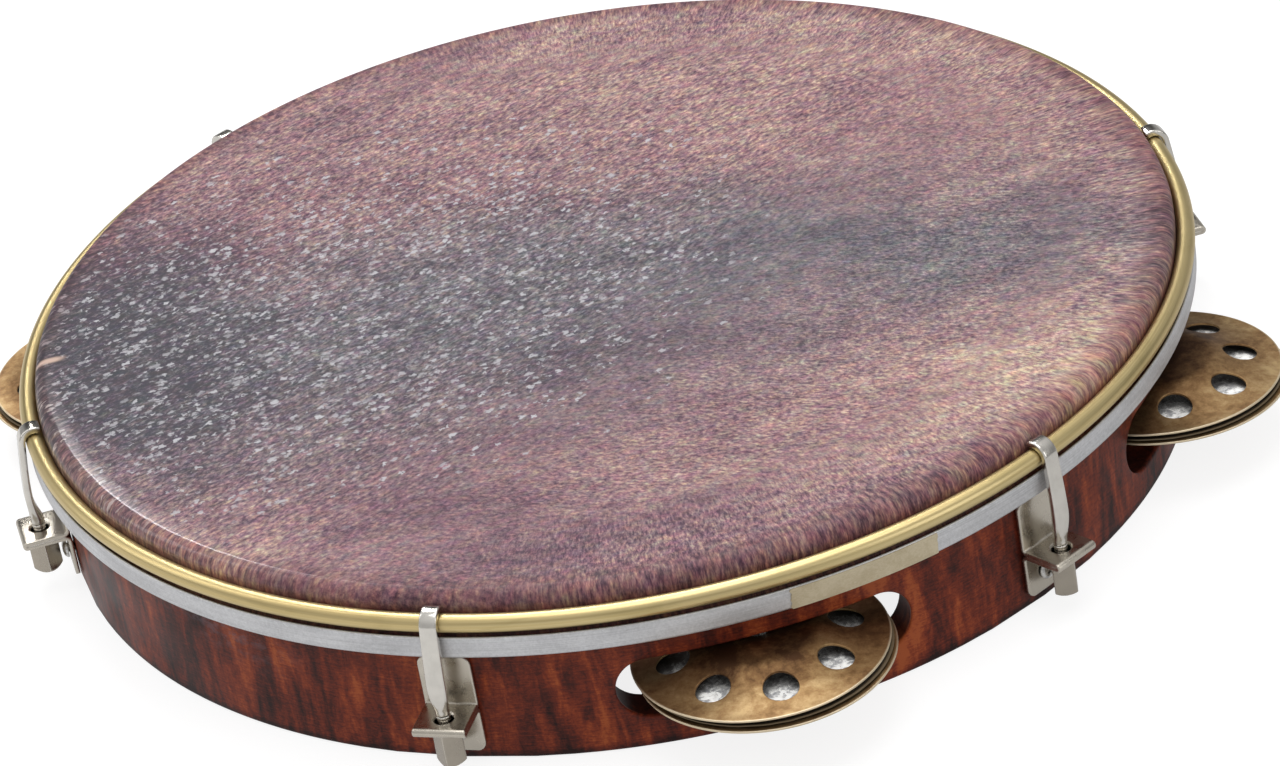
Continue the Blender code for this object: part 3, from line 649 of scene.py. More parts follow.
def tape_material():
    """Aged beige tape with a faint weave."""
    s = Shade("splice_tape")
    p = s.place()
    weave = s.noise(p, (2.0, 2.0, 5.0), 3.0, 0.7)
    tone = weave * 0.4 + s.noise(p, 0.18, 4.0, 0.6) * 0.6
    return s.done(Base_Color=s.blend(tone, 0.35, 0.65, (180, 165, 134), (203, 190, 162)),
                  Roughness=s.ramp(tone, 0.3, 0.7, 0.5, 0.66), Normal=s.bump(weave, 0.3, 0.04))


def resin_material():
    s = Shade("dark_resin")
    flow = s.noise(s.place(), 0.4, 4.0, 0.6, 0.5)
    return s.done(Base_Color=s.blend(flow, 0.3, 0.7, (44, 36, 28), (78, 64, 48)),
                  Roughness=s.ramp(flow, 0.3, 0.7, 0.28, 0.5), Normal=s.bump(flow, 0.5, 0.2))


# ---------------------------------------------------------------- shell

SLOT_HALF_LENGTH = 31.7
SLOT_HALF_HEIGHT = 7.05
SLOT_MIDDLE = 14.25
SLOT_EDGE = 0.7
SCREW_BORE = 1.4


def slot_rays(low, high):
    """Points round a slot as (start on the slot's spine, direction, reach to the bay's border)."""
    spine = SLOT_HALF_LENGTH - SLOT_HALF_HEIGHT
    up = high - SLOT_MIDDLE
    down = SLOT_MIDDLE - low
    side = HALF_BAY - spine
    corner_up = math.atan2(up, side)
    corner_down = math.atan2(down, side)
    turns = list(np.linspace(-math.pi / 2, -corner_down, 9)[:-1])
    turns += list(np.linspace(-corner_down, corner_up, 15)[:-1])
    turns += list(np.linspace(corner_up, math.pi / 2, 9))
    rays = []
    for t in turns:
        run, rise = math.cos(t), math.sin(t)
        reach = min(side / run if run > 1e-9 else 1e9, (up / rise if rise > 0 else -down / rise) if rise else 1e9)
        rays.append((spine, t, reach))
    flat = 26
    for i in range(1, flat):
        rays.append((spine - 2 * spine * i / flat, math.pi / 2, up))
    for _, t, reach in reversed(rays[:len(turns)]):
        rays.append((-spine, math.pi - t, reach))
    for i in range(1, flat):
        rays.append((-spine + 2 * spine * i / flat, -math.pi / 2, down))
    return rays


def on_wall(radius, along, height, azimuth):
    """A point on a cylinder, from its straight distance along the rim."""
    turn = azimuth + math.asin(along / radius)
    return polar(radius, turn, height)


def shell_mesh(bay_azimuths):
    low, high = 0.9, SHELL_HEIGHT - BEARING_EDGE
    rays = slot_rays(low, high)
    build = Builder()
    steps = np.linspace(0, 1, 9) ** 1.3

    def border_turn(start, t, reach):
        return (start + reach * math.cos(t)) / HALF_BAY * HALF_BAY_TURN

    def border_ring(radius, azimuth, share, offset):
        """Share 0 is the slot's outline grown by the offset, and share 1 the bay's border."""
        ring = []
        for start, t, reach in rays:
            grown = SLOT_HALF_HEIGHT + offset if offset is not None else 0.0
            out = grown + (reach - grown) * share
            near = math.asin(max(-1, min(1, (start + grown * math.cos(t)) / radius)))
            far = border_turn(start, t, reach)
            ring.append(polar(radius, azimuth + near + (far - near) * share, SLOT_MIDDLE + out * math.sin(t)))
        return ring

    def slot_ring(radius, azimuth, offset):
        grown = SLOT_HALF_HEIGHT + offset
        return [on_wall(radius, start + grown * math.cos(t), SLOT_MIDDLE + grown * math.sin(t), azimuth)
                for start, t, _ in rays]

    for bay, azimuth in bay_azimuths.items():
        offset = None if bay == GRIP_BAY else SLOT_EDGE
        for radius in (SHELL_RADIUS, SHELL_INNER):
            build.grid([border_ring(radius, azimuth, share, offset) for share in steps])
        if bay == GRIP_BAY:
            continue
        rings = []
        for radius, inward, turns in ((SHELL_RADIUS, -SLOT_EDGE, (0, 90)), (SHELL_INNER, SLOT_EDGE, (90, 0))):
            for t in np.radians(np.linspace(*turns, 6)):
                rings.append(slot_ring(radius + inward * (1 - math.cos(t)), azimuth, SLOT_EDGE * (1 - math.sin(t))))
        build.grid(rings)

    def border_turns(level):
        turns = set()
        for azimuth in bay_azimuths.values():
            for start, t, reach in rays:
                if abs(SLOT_MIDDLE + reach * math.sin(t) - level) < 1e-6:
                    turns.add(round((azimuth + border_turn(start, t, reach)) % (2 * math.pi), 9))
        turns = sorted(turns)
        kept = [turns[0]]
        for turn in turns[1:]:
            if turn - kept[-1] > 1e-6:
                kept.append(turn)
        return np.array(kept)

    top = arc((SHELL_RADIUS - BEARING_EDGE, high), BEARING_EDGE, 0, 90, 8)
    top += filleted([(SHELL_INNER + 2.0, SHELL_HEIGHT, 0), (SHELL_INNER, SHELL_HEIGHT, 1.0),
                     (SHELL_INNER, high, 0)], 5, closed=False)
    bottom = filleted([(SHELL_INNER, low, 0), (SHELL_INNER, 0, 0.7), (SHELL_RADIUS, 0, 0.7),
                       (SHELL_RADIUS, low, 0)], 5, closed=False)
    for profile, level in ((top, high), (bottom, low)):
        turns = border_turns(level)
        build.grid([[polar(r, t, h) for t in turns] for r, h in profile])
    mesh = build.mesh("shell_body")

    pin_bore = [(0, -1), (1.8, -1), (1.8, 1.2), (1.3, 1.3), (1.3, 26.3), (0, 26.3)]
    cutters = [cutter("pin_bore", pin_bore, 32, spun(bay_azimuths[bay]) @ shifted(PIN_PLACE)) for bay in JINGLE_BAYS]
    screw_bore = [(0, -8), (SCREW_BORE, -8), (SCREW_BORE, 8), (0, 8)]
    for station in STATIONS:
        turn = spun(place_of(f"tension_nut_{station}")[1])
        place = turn @ shifted(SHELL_RADIUS - 3.2, z=place_of(f"screw_nut_{station}")[2]) @ spun(math.pi / 2, "Y")
        cutters.append(cutter("screw_bore", screw_bore, 32, place))
    return cut(mesh, joined(cutters, "shell_cutters"))


# ---------------------------------------------------------------- head and hoops

def head_mesh():
    """The film over the bearing edge, down its collar and into the channel."""
    film, ridge = 0.4, 3.1
    collar_end, edge = 33.9, 29.8
    centre = (SHELL_RADIUS - BEARING_EDGE, HEAD_TOP - ridge)
    outer = [(r, HEAD_TOP) for r in list(np.linspace(0, 112, 57)) + list(np.linspace(113, centre[0] - 0.4, 14))]
    outer += arc(centre, ridge, 90, 0, 18)
    collar = centre[0] + ridge
    outer += [(collar, h) for h in np.linspace(centre[1] - 0.3, collar_end, 12)]
    foot = extent("head_membrane")[1][0]
    outer += [(collar + (foot - collar) * k, collar_end - 2.4 * k) for k in (0.15, 0.4, 0.7, 0.9)]
    outer += [(foot, 31.2), (foot, 30.4), (foot, edge)]
    inner = [(foot - film, edge), (foot - film, 31.0), (collar - film, 33.4)]
    inner += arc(centre, ridge - film, 0, 90, 12)
    inner += [(60, HEAD_TOP - film), (0, HEAD_TOP - film)]
    segments = 540
    points = turned(outer + inner, segments)
    for i, (radius, height) in enumerate(outer):
        if radius < 100 or height >= HEAD_TOP - 0.5:
            continue
        share = min(1.0, max(0.0, (collar - radius) / 25))
        for j in range(segments):
            t = 2 * math.pi * j / segments
            sway = noise.noise(Vector((math.cos(t) * 9, math.sin(t) * 9, height * 0.12)))
            points[i, j, 0] += math.cos(t) * sway * 0.12 * (1 - share)
            points[i, j, 1] += math.sin(t) * sway * 0.12 * (1 - share)
    build = Builder()
    build.grid(points)
    mesh = build.mesh("head_film", 60.0)
    print_attribute(mesh, centre, ridge)
    return mesh


def print_attribute(mesh, centre, ridge):
    """Where each point lies on the flat printed sheet: the collar is the sheet's stretched border."""
    count = len(mesh.vertices)
    places = np.empty(count * 3)
    mesh.vertices.foreach_get("co", places)
    places = places.reshape(-1, 3) / MM
    radius = np.hypot(places[:, 0], places[:, 1])
    bend = np.arctan2(radius - centre[0], np.maximum(places[:, 2] - centre[1], 1e-6))
    bend = np.where(places[:, 2] <= centre[1], math.pi / 2, bend)
    down = np.maximum(centre[1] - places[:, 2], 0.0)
    path = np.where(radius < centre[0], radius, centre[0] + bend * ridge + down)
    turn = np.arctan2(places[:, 1], places[:, 0])
    start = 116.8 + 5.2 * np.clip(0.5 - 1.1 * np.cos(turn - math.radians(25)), 0, 1)
    share, ease = 0.42, 3.0
    beyond = np.maximum(path - start, 0.0)
    eased = start + share * beyond + (1 - share) * ease * (1 - np.exp(-beyond / ease))
    stretched = np.where(path < start, path, eased)
    scale = stretched / np.maximum(radius, 1e-6)
    spread = np.stack([places[:, 0] * scale, places[:, 1] * scale, np.zeros(count)], 1)
    attribute = mesh.attributes.new("print", "FLOAT_VECTOR", "POINT")
    attribute.data.foreach_set("vector", spread.ravel())


def hoop_mesh():
    low, high = HOOP_LOW, HOOP_HIGH
    inner, outer, sheet, lip = SHELL_RADIUS + 0.35, HOOP_RADIUS, 0.6, 31.0
    corners = [
        (inner, lip, 0.2), (inner + sheet, lip, 0.2), (inner + sheet, low + sheet, 0.25),
        (outer - sheet, low + sheet, 0.25), (outer - sheet, high, 0.22), (outer, high, 0.30),
        (outer, low, 0.7), (inner, low, 0.7)]
    return turned_mesh("channel", filleted(corners, 5), 512, closed=True)


def tape_mesh():
    """A thin patch that hugs the channel, with slightly uneven ends."""
    low, high = extent("flesh_hoop_tape")
    inner = HOOP_RADIUS + 0.04
    outer = HOOP_RADIUS + 0.24
    bottom, top = low[2] + 0.1, high[2] - 0.1
    start, end = math.radians(281.7), math.radians(296.3)
    rows = 20
    steps = 60
    build = Builder()
    for radius in (inner, outer):
        grid = []
        for i in range(rows + 1):
            height = bottom + (top - bottom) * i / rows
            first = start + 0.0035 * noise.noise(Vector((height * 1.4, 3.0, 0.0))) + 0.0022 * (i / rows)
            last = end + 0.0040 * noise.noise(Vector((height * 1.1, 9.0, 0.0))) + 0.0030 * (i / rows)
            grid.append([polar(radius, t, height) for t in np.linspace(first, last, steps + 1)])
        build.grid(grid, wrap_columns=False)
    layers = [np.array(p).reshape(rows + 1, steps + 1, 3) for p in build.points]
    border = [[layer[0, :], layer[:, -1], layer[-1, ::-1], layer[::-1, 0]] for layer in layers]
    for one, two in zip(*border):
        build.grid([one, two], wrap_columns=False)
    return build.mesh("tape", 25.0)


def resin_mesh():
    low, high = (corner[2] for corner in extent("flesh_hoop_resin"))
    outer = extent("flesh_hoop_resin")[1][0]
    inner = outer - 1.0
    corners = [(inner, high - 0.1, 0.2), ((inner + outer) / 2, high - 0.35, 0.5), (outer, high, 0.1),
               (outer, low, 0.2), (inner, low, 0.2)]
    return turned_mesh("resin_bead", filleted(corners, 3), 360, closed=True, sharp=60.0)


def bar_mesh():
    return turned_mesh("bar", arc((BAR_RING, BAR_HEIGHT), BAR_RADIUS, 0, 360, 48)[:-1], 540, closed=True)


# ---------------------------------------------------------------- tension hardware

ROD_RADIUS = 1.5
SCREW_RADIUS = 1.1
SCREW_SEAT = 1.6            # underside of a screw's head, out from the shell
SCREW_TIP = 114.7           # radius that a screw reaches inside the shell


def rounded_section(width, thickness, corner, steps=6):
    """A closed section: x is the thickness and y the width."""
    corner = min(corner, width / 2 - 1e-3, thickness / 2 - 1e-3)
    points = []
    for side_x, side_y, start in ((1, 1, 0), (-1, 1, 90), (-1, -1, 180), (1, -1, 270)):
        centre = (side_x * (thickness / 2 - corner), side_y * (width / 2 - corner))
        points += arc(centre, corner, start, start + 90, steps)
    return points


def spline(keys, steps):
    """Rows of numbers between key rows, along a Catmull-Rom curve."""
    keys = np.array(keys, float)
    padded = np.vstack([2 * keys[0] - keys[1], keys, 2 * keys[-1] - keys[-2]])
    rows = []
    for i in range(1, len(padded) - 2):
        before, here, after, beyond = padded[i - 1:i + 3]
        for t in np.linspace(0, 1, steps, endpoint=False):
            rows.append(0.5 * (2 * here + (after - before) * t + (2 * before - 5 * here + 4 * after - beyond) * t ** 2
                               + (3 * here - before - 3 * after + beyond) * t ** 3))
    rows.append(keys[-1])
    return np.array(rows)


def hook_mesh(name, lean):
    """A claw over the bar, a flat shank that swells and narrows, and a threaded rod."""
    strap, gap, tip_turn = 1.5, 0.2, 118
    claw = BAR_RADIUS + gap + strap / 2
    top = BAR_HEIGHT + BAR_RADIUS
    keys = []
    for turn in (tip_turn, 100, 80, 60, 40, 20, 4):
        angle = math.radians(turn)
        keys.append((BAR_RING + claw * math.cos(angle), BAR_HEIGHT + claw * math.sin(angle), 3.8, strap, 0.38))
    keys += [
        (133.1, 33.5, 3.85, 1.5, 0.38), (133.6, 29.5, 3.95, 1.5, 0.38), (134.0, 25.5, 4.05, 1.6, 0.42),
        (134.15, 22.4, 4.1, 1.75, 0.5), (134.0, 20.3, 3.85, 2.0, 0.7), (133.75, 18.6, 3.4, 2.5, 1.1),
        (133.5, 17.2, 3.05, 2.9, 1.4), (133.5, 15.9, 3.0, 3.0, 1.5)]
    path = spline(keys, 6)
    rows = []
    for i, (out, up, width, thickness, corner) in enumerate(path):
        ahead = path[min(i + 1, len(path) - 1)] - path[max(i - 1, 0)]
        normal = math.atan2(ahead[1], ahead[0]) + math.pi / 2
        shift = lean * max(0.0, (up - PLATE_TOP) / (top - PLATE_TOP))
        rows.append([(out + x * math.cos(normal), shift + y, up + x * math.sin(normal))
                     for x, y in rounded_section(width, thickness, corner)])
    first = np.array(rows[0])
    middle = first.mean(0)
    tip = []
    backward = np.array([-math.sin(math.radians(tip_turn)), 0, math.cos(math.radians(tip_turn))])
    for share in (0.55, 0.85, 0.96):
        away = backward * 0.25 * (1 - share ** 3)
        tip.append(middle + (first - middle) * share + away)
    turns = np.array([math.atan2(y, x) for x, y in rounded_section(2 * ROD_RADIUS, 2 * ROD_RADIUS, ROD_RADIUS)])
    pitch, depth = 0.7, 0.16
    end = extent("tension_hook_0")[0][2]
    for up in np.arange(15.7, end - 0.001, -pitch / 8):
        fade = min(1.0, max(0.0, (15.4 - up) / 0.6)) * min(1.0, max(0.15, (up - end) / 0.6))
        wave = np.abs(((up / pitch - turns / (2 * math.pi)) % 1.0) * 2 - 1)
        radius = ROD_RADIUS - depth * fade * wave
        radius *= min(1.0, 0.82 + (up - end) * 0.4)
        rows.append([(ROD_PLACE - r * math.cos(t), r * math.sin(t), up) for r, t in zip(radius, turns)])
    build = Builder()
    build.tube(tip + rows, tip[0], rows[-1])
    return build.mesh(name, 40.0)


def bracket_mesh():
    """One strip: a flange up, out and folded back under itself, and a flange down."""
    low, high = 2.8, 26.4
    back, strip, width = 0.3, 1.0, 11.5
    front = 138.2 - SHELL_RADIUS
    half = strip / 2
    upper, lower = PLATE_TOP - half, PLATE_TOP - 3 * half
    bend = 0.95
    line = [(back + half, high, 0), (back + half, upper, bend), (front - strip + 0.02, upper, 0)]
    line = filleted(line, 8, closed=False)
    line += arc((front - strip, PLATE_TOP - strip), half, 90, -90, 12)[1:-1]
    line += filleted([(front - strip + 0.02, lower, 0), (back + half, lower, bend), (back + half, low, 0)], 8,
                     closed=False)
    line = np.array(line)
    steps = np.hypot(*np.diff(line, axis=0).T)
    length = np.concatenate([[0], np.cumsum(steps)])
    total = length[-1]
    near_end = np.array([0, 0.04, 0.12, 0.25, 0.45, 0.7, 1.0, 1.4, 1.8, 2.4, 3.2])
    wanted = np.unique(np.concatenate([near_end, total - near_end, length[(length > 3.2) & (length < total - 3.2)],
                                       np.arange(4, total - 4, 0.8)]))
    corner, edge = 2.2, 0.34
    rows = []
    for s in wanted:
        place = np.array([np.interp(s, length, line[:, 0]), np.interp(s, length, line[:, 1])])
        ahead = np.array([np.interp(s + 0.02, length, line[:, k]) - np.interp(s - 0.02, length, line[:, k])
                          for k in (0, 1)])
        normal = np.array([-ahead[1], ahead[0]]) / np.hypot(*ahead)
        away = min(s, total - s)
        inset = corner - math.sqrt(max(0.0, corner ** 2 - max(0.0, corner - away) ** 2))
        thin = edge - math.sqrt(max(0.0, edge ** 2 - max(0.0, edge - away) ** 2))
        thick = strip - 2 * thin
        ring = rounded_section(width - 2 * inset, thick, min(edge, thick / 2.02), 5)
        rows.append([(place[0] + x * normal[0], y, place[1] + x * normal[1]) for x, y in ring])
    build = Builder()
    build.tube(rows, rows[0], rows[-1])
    mesh = build.mesh("bracket_strip", 40.0)
    rod_bore = [(0, 10), (2.05, 10), (2.05, 14.35), (2.45, 14.75), (2.45, 16), (0, 16)]
    mesh = cut(mesh, cutter("rod_bore", rod_bore, 48, shifted(ROD_PLACE - SHELL_RADIUS)), 40.0)
    screw_bore = [(0, -2), (SCREW_BORE, -2), (SCREW_BORE, 3), (0, 3)]
    return cut(mesh, cutter("screw_bore", screw_bore, 32, shifted(z=7.6) @ spun(math.pi / 2, "Y")), 40.0)


def faceted_nut(name, sides, across, height, bore, chamfer_low, chamfer_high):
    """A nut about Z, centred on the origin, with both ends turned to a chamfer."""
    edge, crisp, rim = 0.3, 40.0, 0.3
    count = 24 * sides
    turns = np.linspace(0, 2 * math.pi, count, endpoint=False)
    flat = across / 2
    corner = flat / math.cos(math.pi / sides)
    folded = (turns + math.pi / sides) % (2 * math.pi / sides) - math.pi / sides
    reach = flat / np.cos(folded)
    limit = corner - edge * 0.45
    reach = -np.logaddexp(-reach * crisp, -limit * crisp) / crisp
    rows = []

    def ring(radius, up):
        radius = np.broadcast_to(radius, turns.shape)
        rows.append(np.stack([radius * np.cos(turns), radius * np.sin(turns), np.full(count, up)], -1))

    start = flat * 0.98
    ring(bore, height / 2 - rim)
    ring(bore + rim, height / 2)
    ring(start, height / 2)
    for k in np.linspace(0, 1, 8)[1:]:
        ring(np.minimum(reach, start + (corner - start) * k), height / 2 - chamfer_high * k)
    ring(reach, 0.0)
    for k in np.linspace(1, 0, 14):
        bulge = math.sin(k * math.pi / 2)
        ring(np.minimum(reach, start - 0.3 + (corner - start + 0.3) * bulge), -height / 2 + chamfer_low * k)
    ring(bore + rim, -height / 2)
    ring(bore, -height / 2 + rim)
    build = Builder()
    build.grid(rows, wrap_rows=True)
    return build.mesh(name, 32.0)


def screw_mesh():
    """Pan head with a cross recess, and a threaded shank, along Z with the head up."""
    head = 1.2
    length = SCREW_SEAT + SHELL_RADIUS - SCREW_TIP
    profile = [(0, head), (0.7, head - 0.03), (1.3, head - 0.14), (1.75, head - 0.36), (2.05, head - 0.66),
               (2.18, head - 0.95), (2.2, 0.12), (2.12, 0.0), (SCREW_RADIUS, 0.0)]
    rows = list(turned(profile, 48))
    turns = np.linspace(0, 2 * math.pi, 48, endpoint=False)
    pitch = 0.6
    for down in np.arange(0.3, length, pitch / 6):
        wave = np.abs(((down / pitch + turns / (2 * math.pi)) % 1.0) * 2 - 1)
        radius = (SCREW_RADIUS - 0.16 * wave) * min(1.0, 0.6 + (length - down))
        rows.append(np.stack([radius * np.cos(turns), radius * np.sin(turns), np.full(48, -down)], -1))
    build = Builder()
    build.tube(rows, rows[-1])
    mesh = build.mesh("pan_screw", 40.0)
    arm, thin = 1.15, 0.30
    cross = [(arm, thin), (thin, thin), (thin, arm), (-thin, arm), (-thin, thin), (-arm, thin)]
    cross += [(-x, -y) for x, y in cross]
    cross = np.array(cross)
    wide = np.column_stack([cross * 1.1, np.full(12, head + 0.3)])
    deep = np.column_stack([cross * 0.55, np.full(12, head - 0.85)])
    build = Builder()
    build.tube([wide, deep], wide, deep)
    return cut(mesh, build.mesh("recess", 20.0), sharp=30.0)


# ---------------------------------------------------------------- jingles

JINGLE_RADIUS = 27.1
JINGLE_BORE = 2.2
HOLES = 8
DAMPER_SHEET = 0.4
HOLE_CIRCLE = 18.4
HOLE_RADIUS = 3.7
TOP_SHIFT = {0: (0.0, 0.0), 1: (0.0, 0.0), 2: (-0.8, 0.0), 4: (-0.3, -0.8), 5: (-0.6, 0.0)}
BOTTOM_SHIFT = 0.7
SET_TILT = {0: 0.0, 1: 0.0, 2: 0.0, 4: 0.0, 5: 2.3}


def jingle_height(radius):
    """The top face: a dome that steepens inward and ends in a flat crown round the bore."""
    dome = 0.0165 * (JINGLE_RADIUS - radius) ** 2
    crown = 3.6
    bend = 3.0
    return (math.log1p(math.exp(-crown * bend)) - np.logaddexp(-dome * bend, -crown * bend)) / bend


def jingle_mesh(name, seed):
    """A stamped disc with eight holes, whose rim's top face is at Z = 0."""
    lip = 0.12
    per_side = 12
    sector = 2 * math.pi / HOLES
    low, high = 13.4, 23.4
    build = Builder()

    def surface(x, y, top):
        radius = np.hypot(x, y)
        wobble = np.array([noise.noise(Vector((a * 0.13, b * 0.13, seed))) for a, b in zip(np.ravel(x), np.ravel(y))])
        wobble = wobble.reshape(np.shape(x)) * 0.10 * np.clip((radius - 3) / 10, 0, 1)
        wobble *= np.clip((JINGLE_RADIUS - radius) / 2, 0.3, 1)
        return jingle_height(radius) + wobble - (0.0 if top else JINGLE_SHEET)

    half = sector / 2
    corners = np.array([(high, -half), (high, half), (low, half), (low, -half)])
    border = np.concatenate([start + (end - start) * np.arange(per_side)[:, None] / per_side
                             for start, end in zip(corners, np.roll(corners, -1, 0))])
    bx, by = border[:, 0] * np.cos(border[:, 1]), border[:, 0] * np.sin(border[:, 1])
    angle = np.arctan2(by, bx - HOLE_CIRCLE)
    shares = np.linspace(0, 1, 7) ** 1.2

    for h in range(HOLES):
        spin = sector * h
        rings = []

        def ring(radius_from_hole, share, top, drop):
            hx = HOLE_CIRCLE + radius_from_hole * np.cos(angle)
            hy = radius_from_hole * np.sin(angle)
            x = hx + (bx - hx) * share
            y = hy + (by - hy) * share
            wx = x * math.cos(spin) - y * math.sin(spin)
            wy = x * math.sin(spin) + y * math.cos(spin)
            rings.append(np.stack([wx, wy, surface(wx, wy, top) + drop], -1))

        for share in shares[::-1]:
            ring(HOLE_RADIUS + lip, share, True, 0.0)
        for t in np.radians((30, 60, 90)):
            ring(HOLE_RADIUS + lip * (1 - math.sin(t)), 0.0, True, -lip * (1 - math.cos(t)))
        for t in np.radians((90, 60, 30)):
            ring(HOLE_RADIUS + lip * (1 - math.sin(t)), 0.0, False, lip * (1 - math.cos(t)))
        for share in shares:
            ring(HOLE_RADIUS + lip, share, False, 0.0)
        build.grid(rings)

    turns = np.linspace(0, 2 * math.pi, HOLES * per_side, endpoint=False) + sector / 2
    cosine, sine = np.cos(turns), np.sin(turns)

    def circle(radius, top, drop=0.0):
        return np.stack([radius * cosine, radius * sine, surface(radius * cosine, radius * sine, top) + drop], -1)

    inward = [low, 12.8, 12.2, 11.6, 11.0, 10.4, 9.6, 8.8, 8.0, 7.0, 6.0, 4.6, JINGLE_BORE + 0.15]
    rows = [circle(radius, True) for radius in inward]
    rows += [circle(JINGLE_BORE, True, -0.12), circle(JINGLE_BORE, False, 0.12)]
    rows += [circle(radius, False) for radius in reversed(inward)]
    build.grid(rows)
    outward = [high, 24.0, 24.6, 25.2, 25.8, 26.4, 26.9]
    rows = [circle(radius, True) for radius in outward]
    for t in np.radians((75, 50, 25, 0, -25, -50, -75)):
        rows.append(circle(26.9 + 0.2 * math.cos(t), True, -0.25 + 0.25 * math.sin(t)))
    rows += [circle(radius, False) for radius in reversed(outward)]
    build.grid(rows)
    return build.mesh(name, 40.0)


def damper_mesh():
    """A thin hammered plate between the two jingles, centred on its axis, with its underside at Z = 0."""
    sheet, outer = DAMPER_SHEET, 26.6
    turns = np.linspace(0, 2 * math.pi, 220, endpoint=False)
    radii = np.concatenate([[2.0], np.linspace(2.4, outer - 0.15, 52)])

    def dents(x, y):
        one = noise.noise(Vector((x * 0.42, y * 0.42, 1.5)))
        two = noise.noise(Vector((x * 0.9, y * 0.9, 7.5)))
        return 0.07 * one + 0.035 * two

    def circle(radius, up):
        return [(x, y, up + dents(x, y)) for x, y, _ in (polar(radius, t, 0) for t in turns)]

    rows = [circle(r, sheet) for r in radii]
    rows += [circle(outer, sheet - 0.08), circle(outer, 0.08)]
    rows += [circle(r, 0.0) for r in radii[::-1]]
    build = Builder()
    build.grid(rows, wrap_rows=True)
    return build.mesh("damper", 40.0)


def pin_mesh():
    profile = [(0, 26.0), (0.55, 25.9), (0.9, 25.5), (1.0, 25.0), (1.0, 1.0), (1.35, 0.9), (1.5, 0.72),
               (1.5, 0.5), (1.38, 0.36), (1.1, 0.3), (0, 0.3)]
    return turned_mesh("jingle_nail", profile, 32)


# ---------------------------------------------------------------- build the object

def build_object():
    steel = steel_material()
    bronze = bronze_material()
    hammered = damper_material()
    bright_nickel = nickel_material("bright_nickel", rgb(208, 204, 197), 0.12, 0.24, 0.35)
    satin_nickel = nickel_material("satin_nickel", rgb(190, 183, 171), 0.22, 0.34, 0.3)
    dull_nickel = nickel_material("dull_nickel", rgb(166, 158, 146), 0.24, 0.36, 0.3)

    bay_azimuths = {bay: place_of(f"tension_nut_{bay}")[1] + HALF_BAY_TURN for bay in STATIONS}
    add_piece("shell_skin", shell_mesh(bay_azimuths), wood_material(), "shell")
    add_piece("head_skin", head_mesh(), hide_material(), "head_membrane")
    add_piece("channel_hoop", hoop_mesh(), aluminium_material(), "flesh_hoop")
    add_piece("channel_resin", resin_mesh(), resin_material(), "flesh_hoop_resin")
    add_piece("channel_tape", tape_mesh(), tape_material(), "flesh_hoop_tape")
    add_piece("brass_hoop", bar_mesh(), brass_material(), "counterhoop")

    bracket = bracket_mesh()
    nut_low, nut_high = (corner[2] for corner in extent("tension_nut_0"))
    nut = faceted_nut("square_nut", 4, 4.8, nut_high - nut_low, 1.65, 1.1, 0.15)
    screw = screw_mesh()
    hex_nut = faceted_nut("hex_nut", 6, 5.0, 2.0, 1.4, 0.35, 0.35)
    outward = spun(math.pi / 2, "Y")
    for k in STATIONS:
        turn = spun(place_of(f"tension_nut_{k}")[1])
        height = place_of(f"screw_nut_{k}")[2]
        add_piece(f"hook_{k}", hook_mesh(f"hook_{k}", HOOK_LEAN[k]), bright_nickel, f"tension_hook_{k}",
                  turn)
        add_piece(f"lug_{k}", bracket, satin_nickel, f"bracket_{k}", turn @ shifted(SHELL_RADIUS))
        add_piece(f"nut_{k}", nut, dull_nickel, f"tension_nut_{k}",
                  turn @ shifted(ROD_PLACE, z=(nut_low + nut_high) / 2) @ spun(math.radians(45)))
        add_piece(f"lug_screw_{k}", screw, steel, f"bracket_screw_{k}",
                  turn @ shifted(SHELL_RADIUS + SCREW_SEAT, z=height) @ outward @ spun(0.5 + 0.9 * k))
        add_piece(f"inner_nut_{k}", hex_nut, steel, f"screw_nut_{k}",
                  turn @ shifted(SHELL_INNER - 1.3, z=height) @ outward @ spun(0.3 * k))

    upper = jingle_mesh("jingle_upper", 2.0)
    lower = jingle_mesh("jingle_lower", 8.0)
    damper = damper_mesh()
    pin = pin_mesh()
    middle = place_of("damper_plate_0")[2]
    upper_rim = extent("top_jingle_0")[0][2] + JINGLE_SHEET - middle
    lower_rim = extent("bottom_jingle_0")[1][2] - JINGLE_SHEET - middle
    for bay in JINGLE_BAYS:
        radius, azimuth, _ = place_of(f"jingle_pin_{bay}")
        axle = spun(azimuth) @ shifted(radius)
        spin = spun(math.radians(JINGLE_TURN[bay]))
        plate = f"damper_plate_{bay}"
        place = axle @ shifted(z=place_of(plate)[2]) @ spun(-math.radians(SET_TILT[bay]), "X")
        add_piece(f"nail_{bay}", pin, steel, f"jingle_pin_{bay}", axle)
        add_piece(f"upper_jingle_{bay}", upper, bronze, f"top_jingle_{bay}",
                  place @ shifted(*TOP_SHIFT[bay], upper_rim) @ spin)
        add_piece(f"lower_jingle_{bay}", lower, bronze, f"bottom_jingle_{bay}",
                  place @ shifted(BOTTOM_SHIFT, z=lower_rim) @ spin.inverted() @ spun(math.pi, "X"))
        add_piece(f"damper_{bay}", damper, hammered, plate,
                  place @ shifted(z=-DAMPER_SHEET / 2) @ spun(0.7 * bay))


# ---------------------------------------------------------------- stage, light and camera

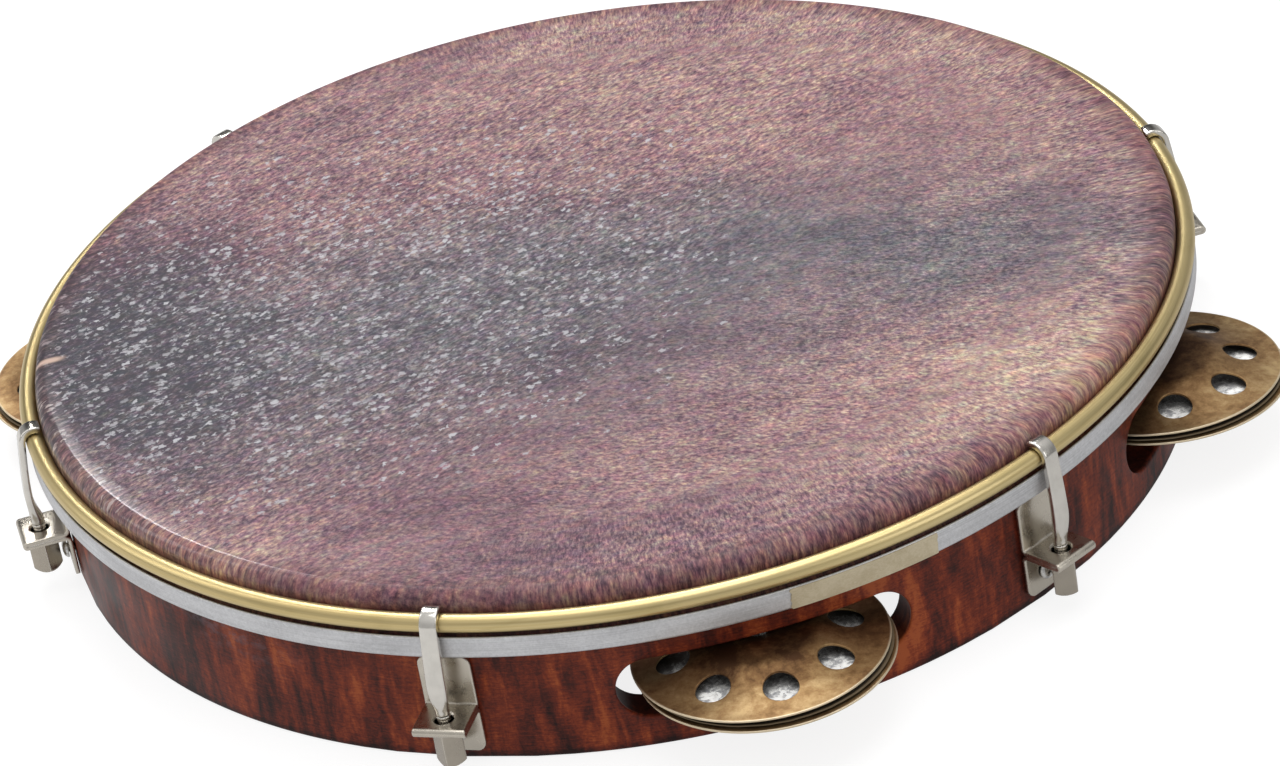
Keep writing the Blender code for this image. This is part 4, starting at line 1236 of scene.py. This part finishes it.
def add_floor():
    mesh = bpy.data.meshes.new("floor")
    size = 6.0
    mesh.from_pydata([(-size, -size, 0), (size, -size, 0), (size, size, 0), (-size, size, 0)], [], [(0, 1, 2, 3)])
    floor = bpy.data.objects.new("floor", mesh)
    bpy.context.scene.collection.objects.link(floor)
    floor.location.z = cad_low[2] - 0.0001
    s = Shade("pale_floor")
    seen = s.node("LightPath", output="Is Camera Ray")
    cast = s.ramp(s.split(s.place())[0], -260.0, 260.0, 0.60, 0.34)
    mesh.materials.append(s.done(
        Base_Color=(0.24, 0.24, 0.24, 1), Roughness=0.9, Specular_IOR_Level=0.0, Emission_Color=(1, 1, 1, 1),
        Emission_Strength=seen * 0.84 + (1.0 - seen) * cast))


def add_area(name, place, target, size, power):
    light = bpy.data.lights.new(name, "AREA")
    light.shape = "RECTANGLE"
    light.size, light.size_y = size
    light.energy = power
    obj = bpy.data.objects.new(name, light)
    bpy.context.scene.collection.objects.link(obj)
    obj.location = place
    obj.rotation_euler = (Vector(target) - Vector(place)).to_track_quat("-Z", "Y").to_euler()


def add_world():
    """A grey studio, brighter overhead, with a dark wall behind the object."""
    world = bpy.data.worlds.new("studio")
    bpy.context.scene.world = world
    world.use_nodes = True
    g = Graph(world.node_tree)
    coords = g.node("TexCoord", output="Generated")
    total = 0.52
    # each change is faded in over the cosine of the angle from its direction
    for direction, start, end, change in (
            ((0, 0, 1), 0.2, 1.0, 0.45), ((-0.08, 0.82, 0.57), 0.82, 0.97, -0.52),
            ((0, -1, 0.2), 0.2, 0.9, 0.10), ((-1, -0.3, 0.1), 0.1, 0.9, 0.14), ((1, -0.4, 0.0), 0.3, 0.9, -0.16)):
        facing = g.vector("DOT_PRODUCT", coords, Vector(direction).normalized(), "Value")
        total = g.ramp(facing, start, end, 0.0, change) + total
    background = g.tree.nodes["Background"]
    g.put(background.inputs["Color"], g.math("MAXIMUM", total, 0.05))
    g.put(background.inputs["Strength"], 0.72)


def add_camera():
    """The camera that was fitted to the photo, 1280 pixels wide."""
    elevation, roll = math.radians(30.756), math.radians(10.323)
    distance = 1220.5
    offset = Vector((-2.83, -9.707, -distance)) * MM
    back = Vector((0, -math.cos(elevation), math.sin(elevation)))
    right = Vector((1, 0, 0))
    turn = (Matrix.Rotation(roll, 3, "Z") @ Matrix((right, back.cross(right), back))).transposed()
    data = bpy.data.cameras.new("camera")
    data.sensor_width = 36
    data.lens = 4.429 * distance * 36 / 1280
    camera = bpy.data.objects.new("camera", data)
    bpy.context.scene.collection.objects.link(camera)
    camera.matrix_world = Matrix.Translation(-(turn @ offset)) @ turn.to_4x4()
    bpy.context.scene.camera = camera


build_object()
add_floor()
add_world()
add_area("overhead", (0.1, -0.1, 1.5), (0, 0, 0), (1.1, 0.9), 8.0)
add_area("key", (-0.10, 0.75, 1.25), (0, 0, 0.03), (0.7, 0.45), 7.0)
add_area("ridge_strip", (-0.27, 1.15, 1.07), (0, 0, 0.04), (0.06, 0.55), 2.6)
add_area("side_strip", (-1.15, 0.30, 0.95), (0, 0, 0.04), (0.30, 1.3), 3.0)
add_area("fill", (1.2, -0.9, 0.6), (0, 0, 0.02), (0.7, 0.7), 3.0)
add_camera()
bpy.context.scene.view_settings.view_transform = "Standard"
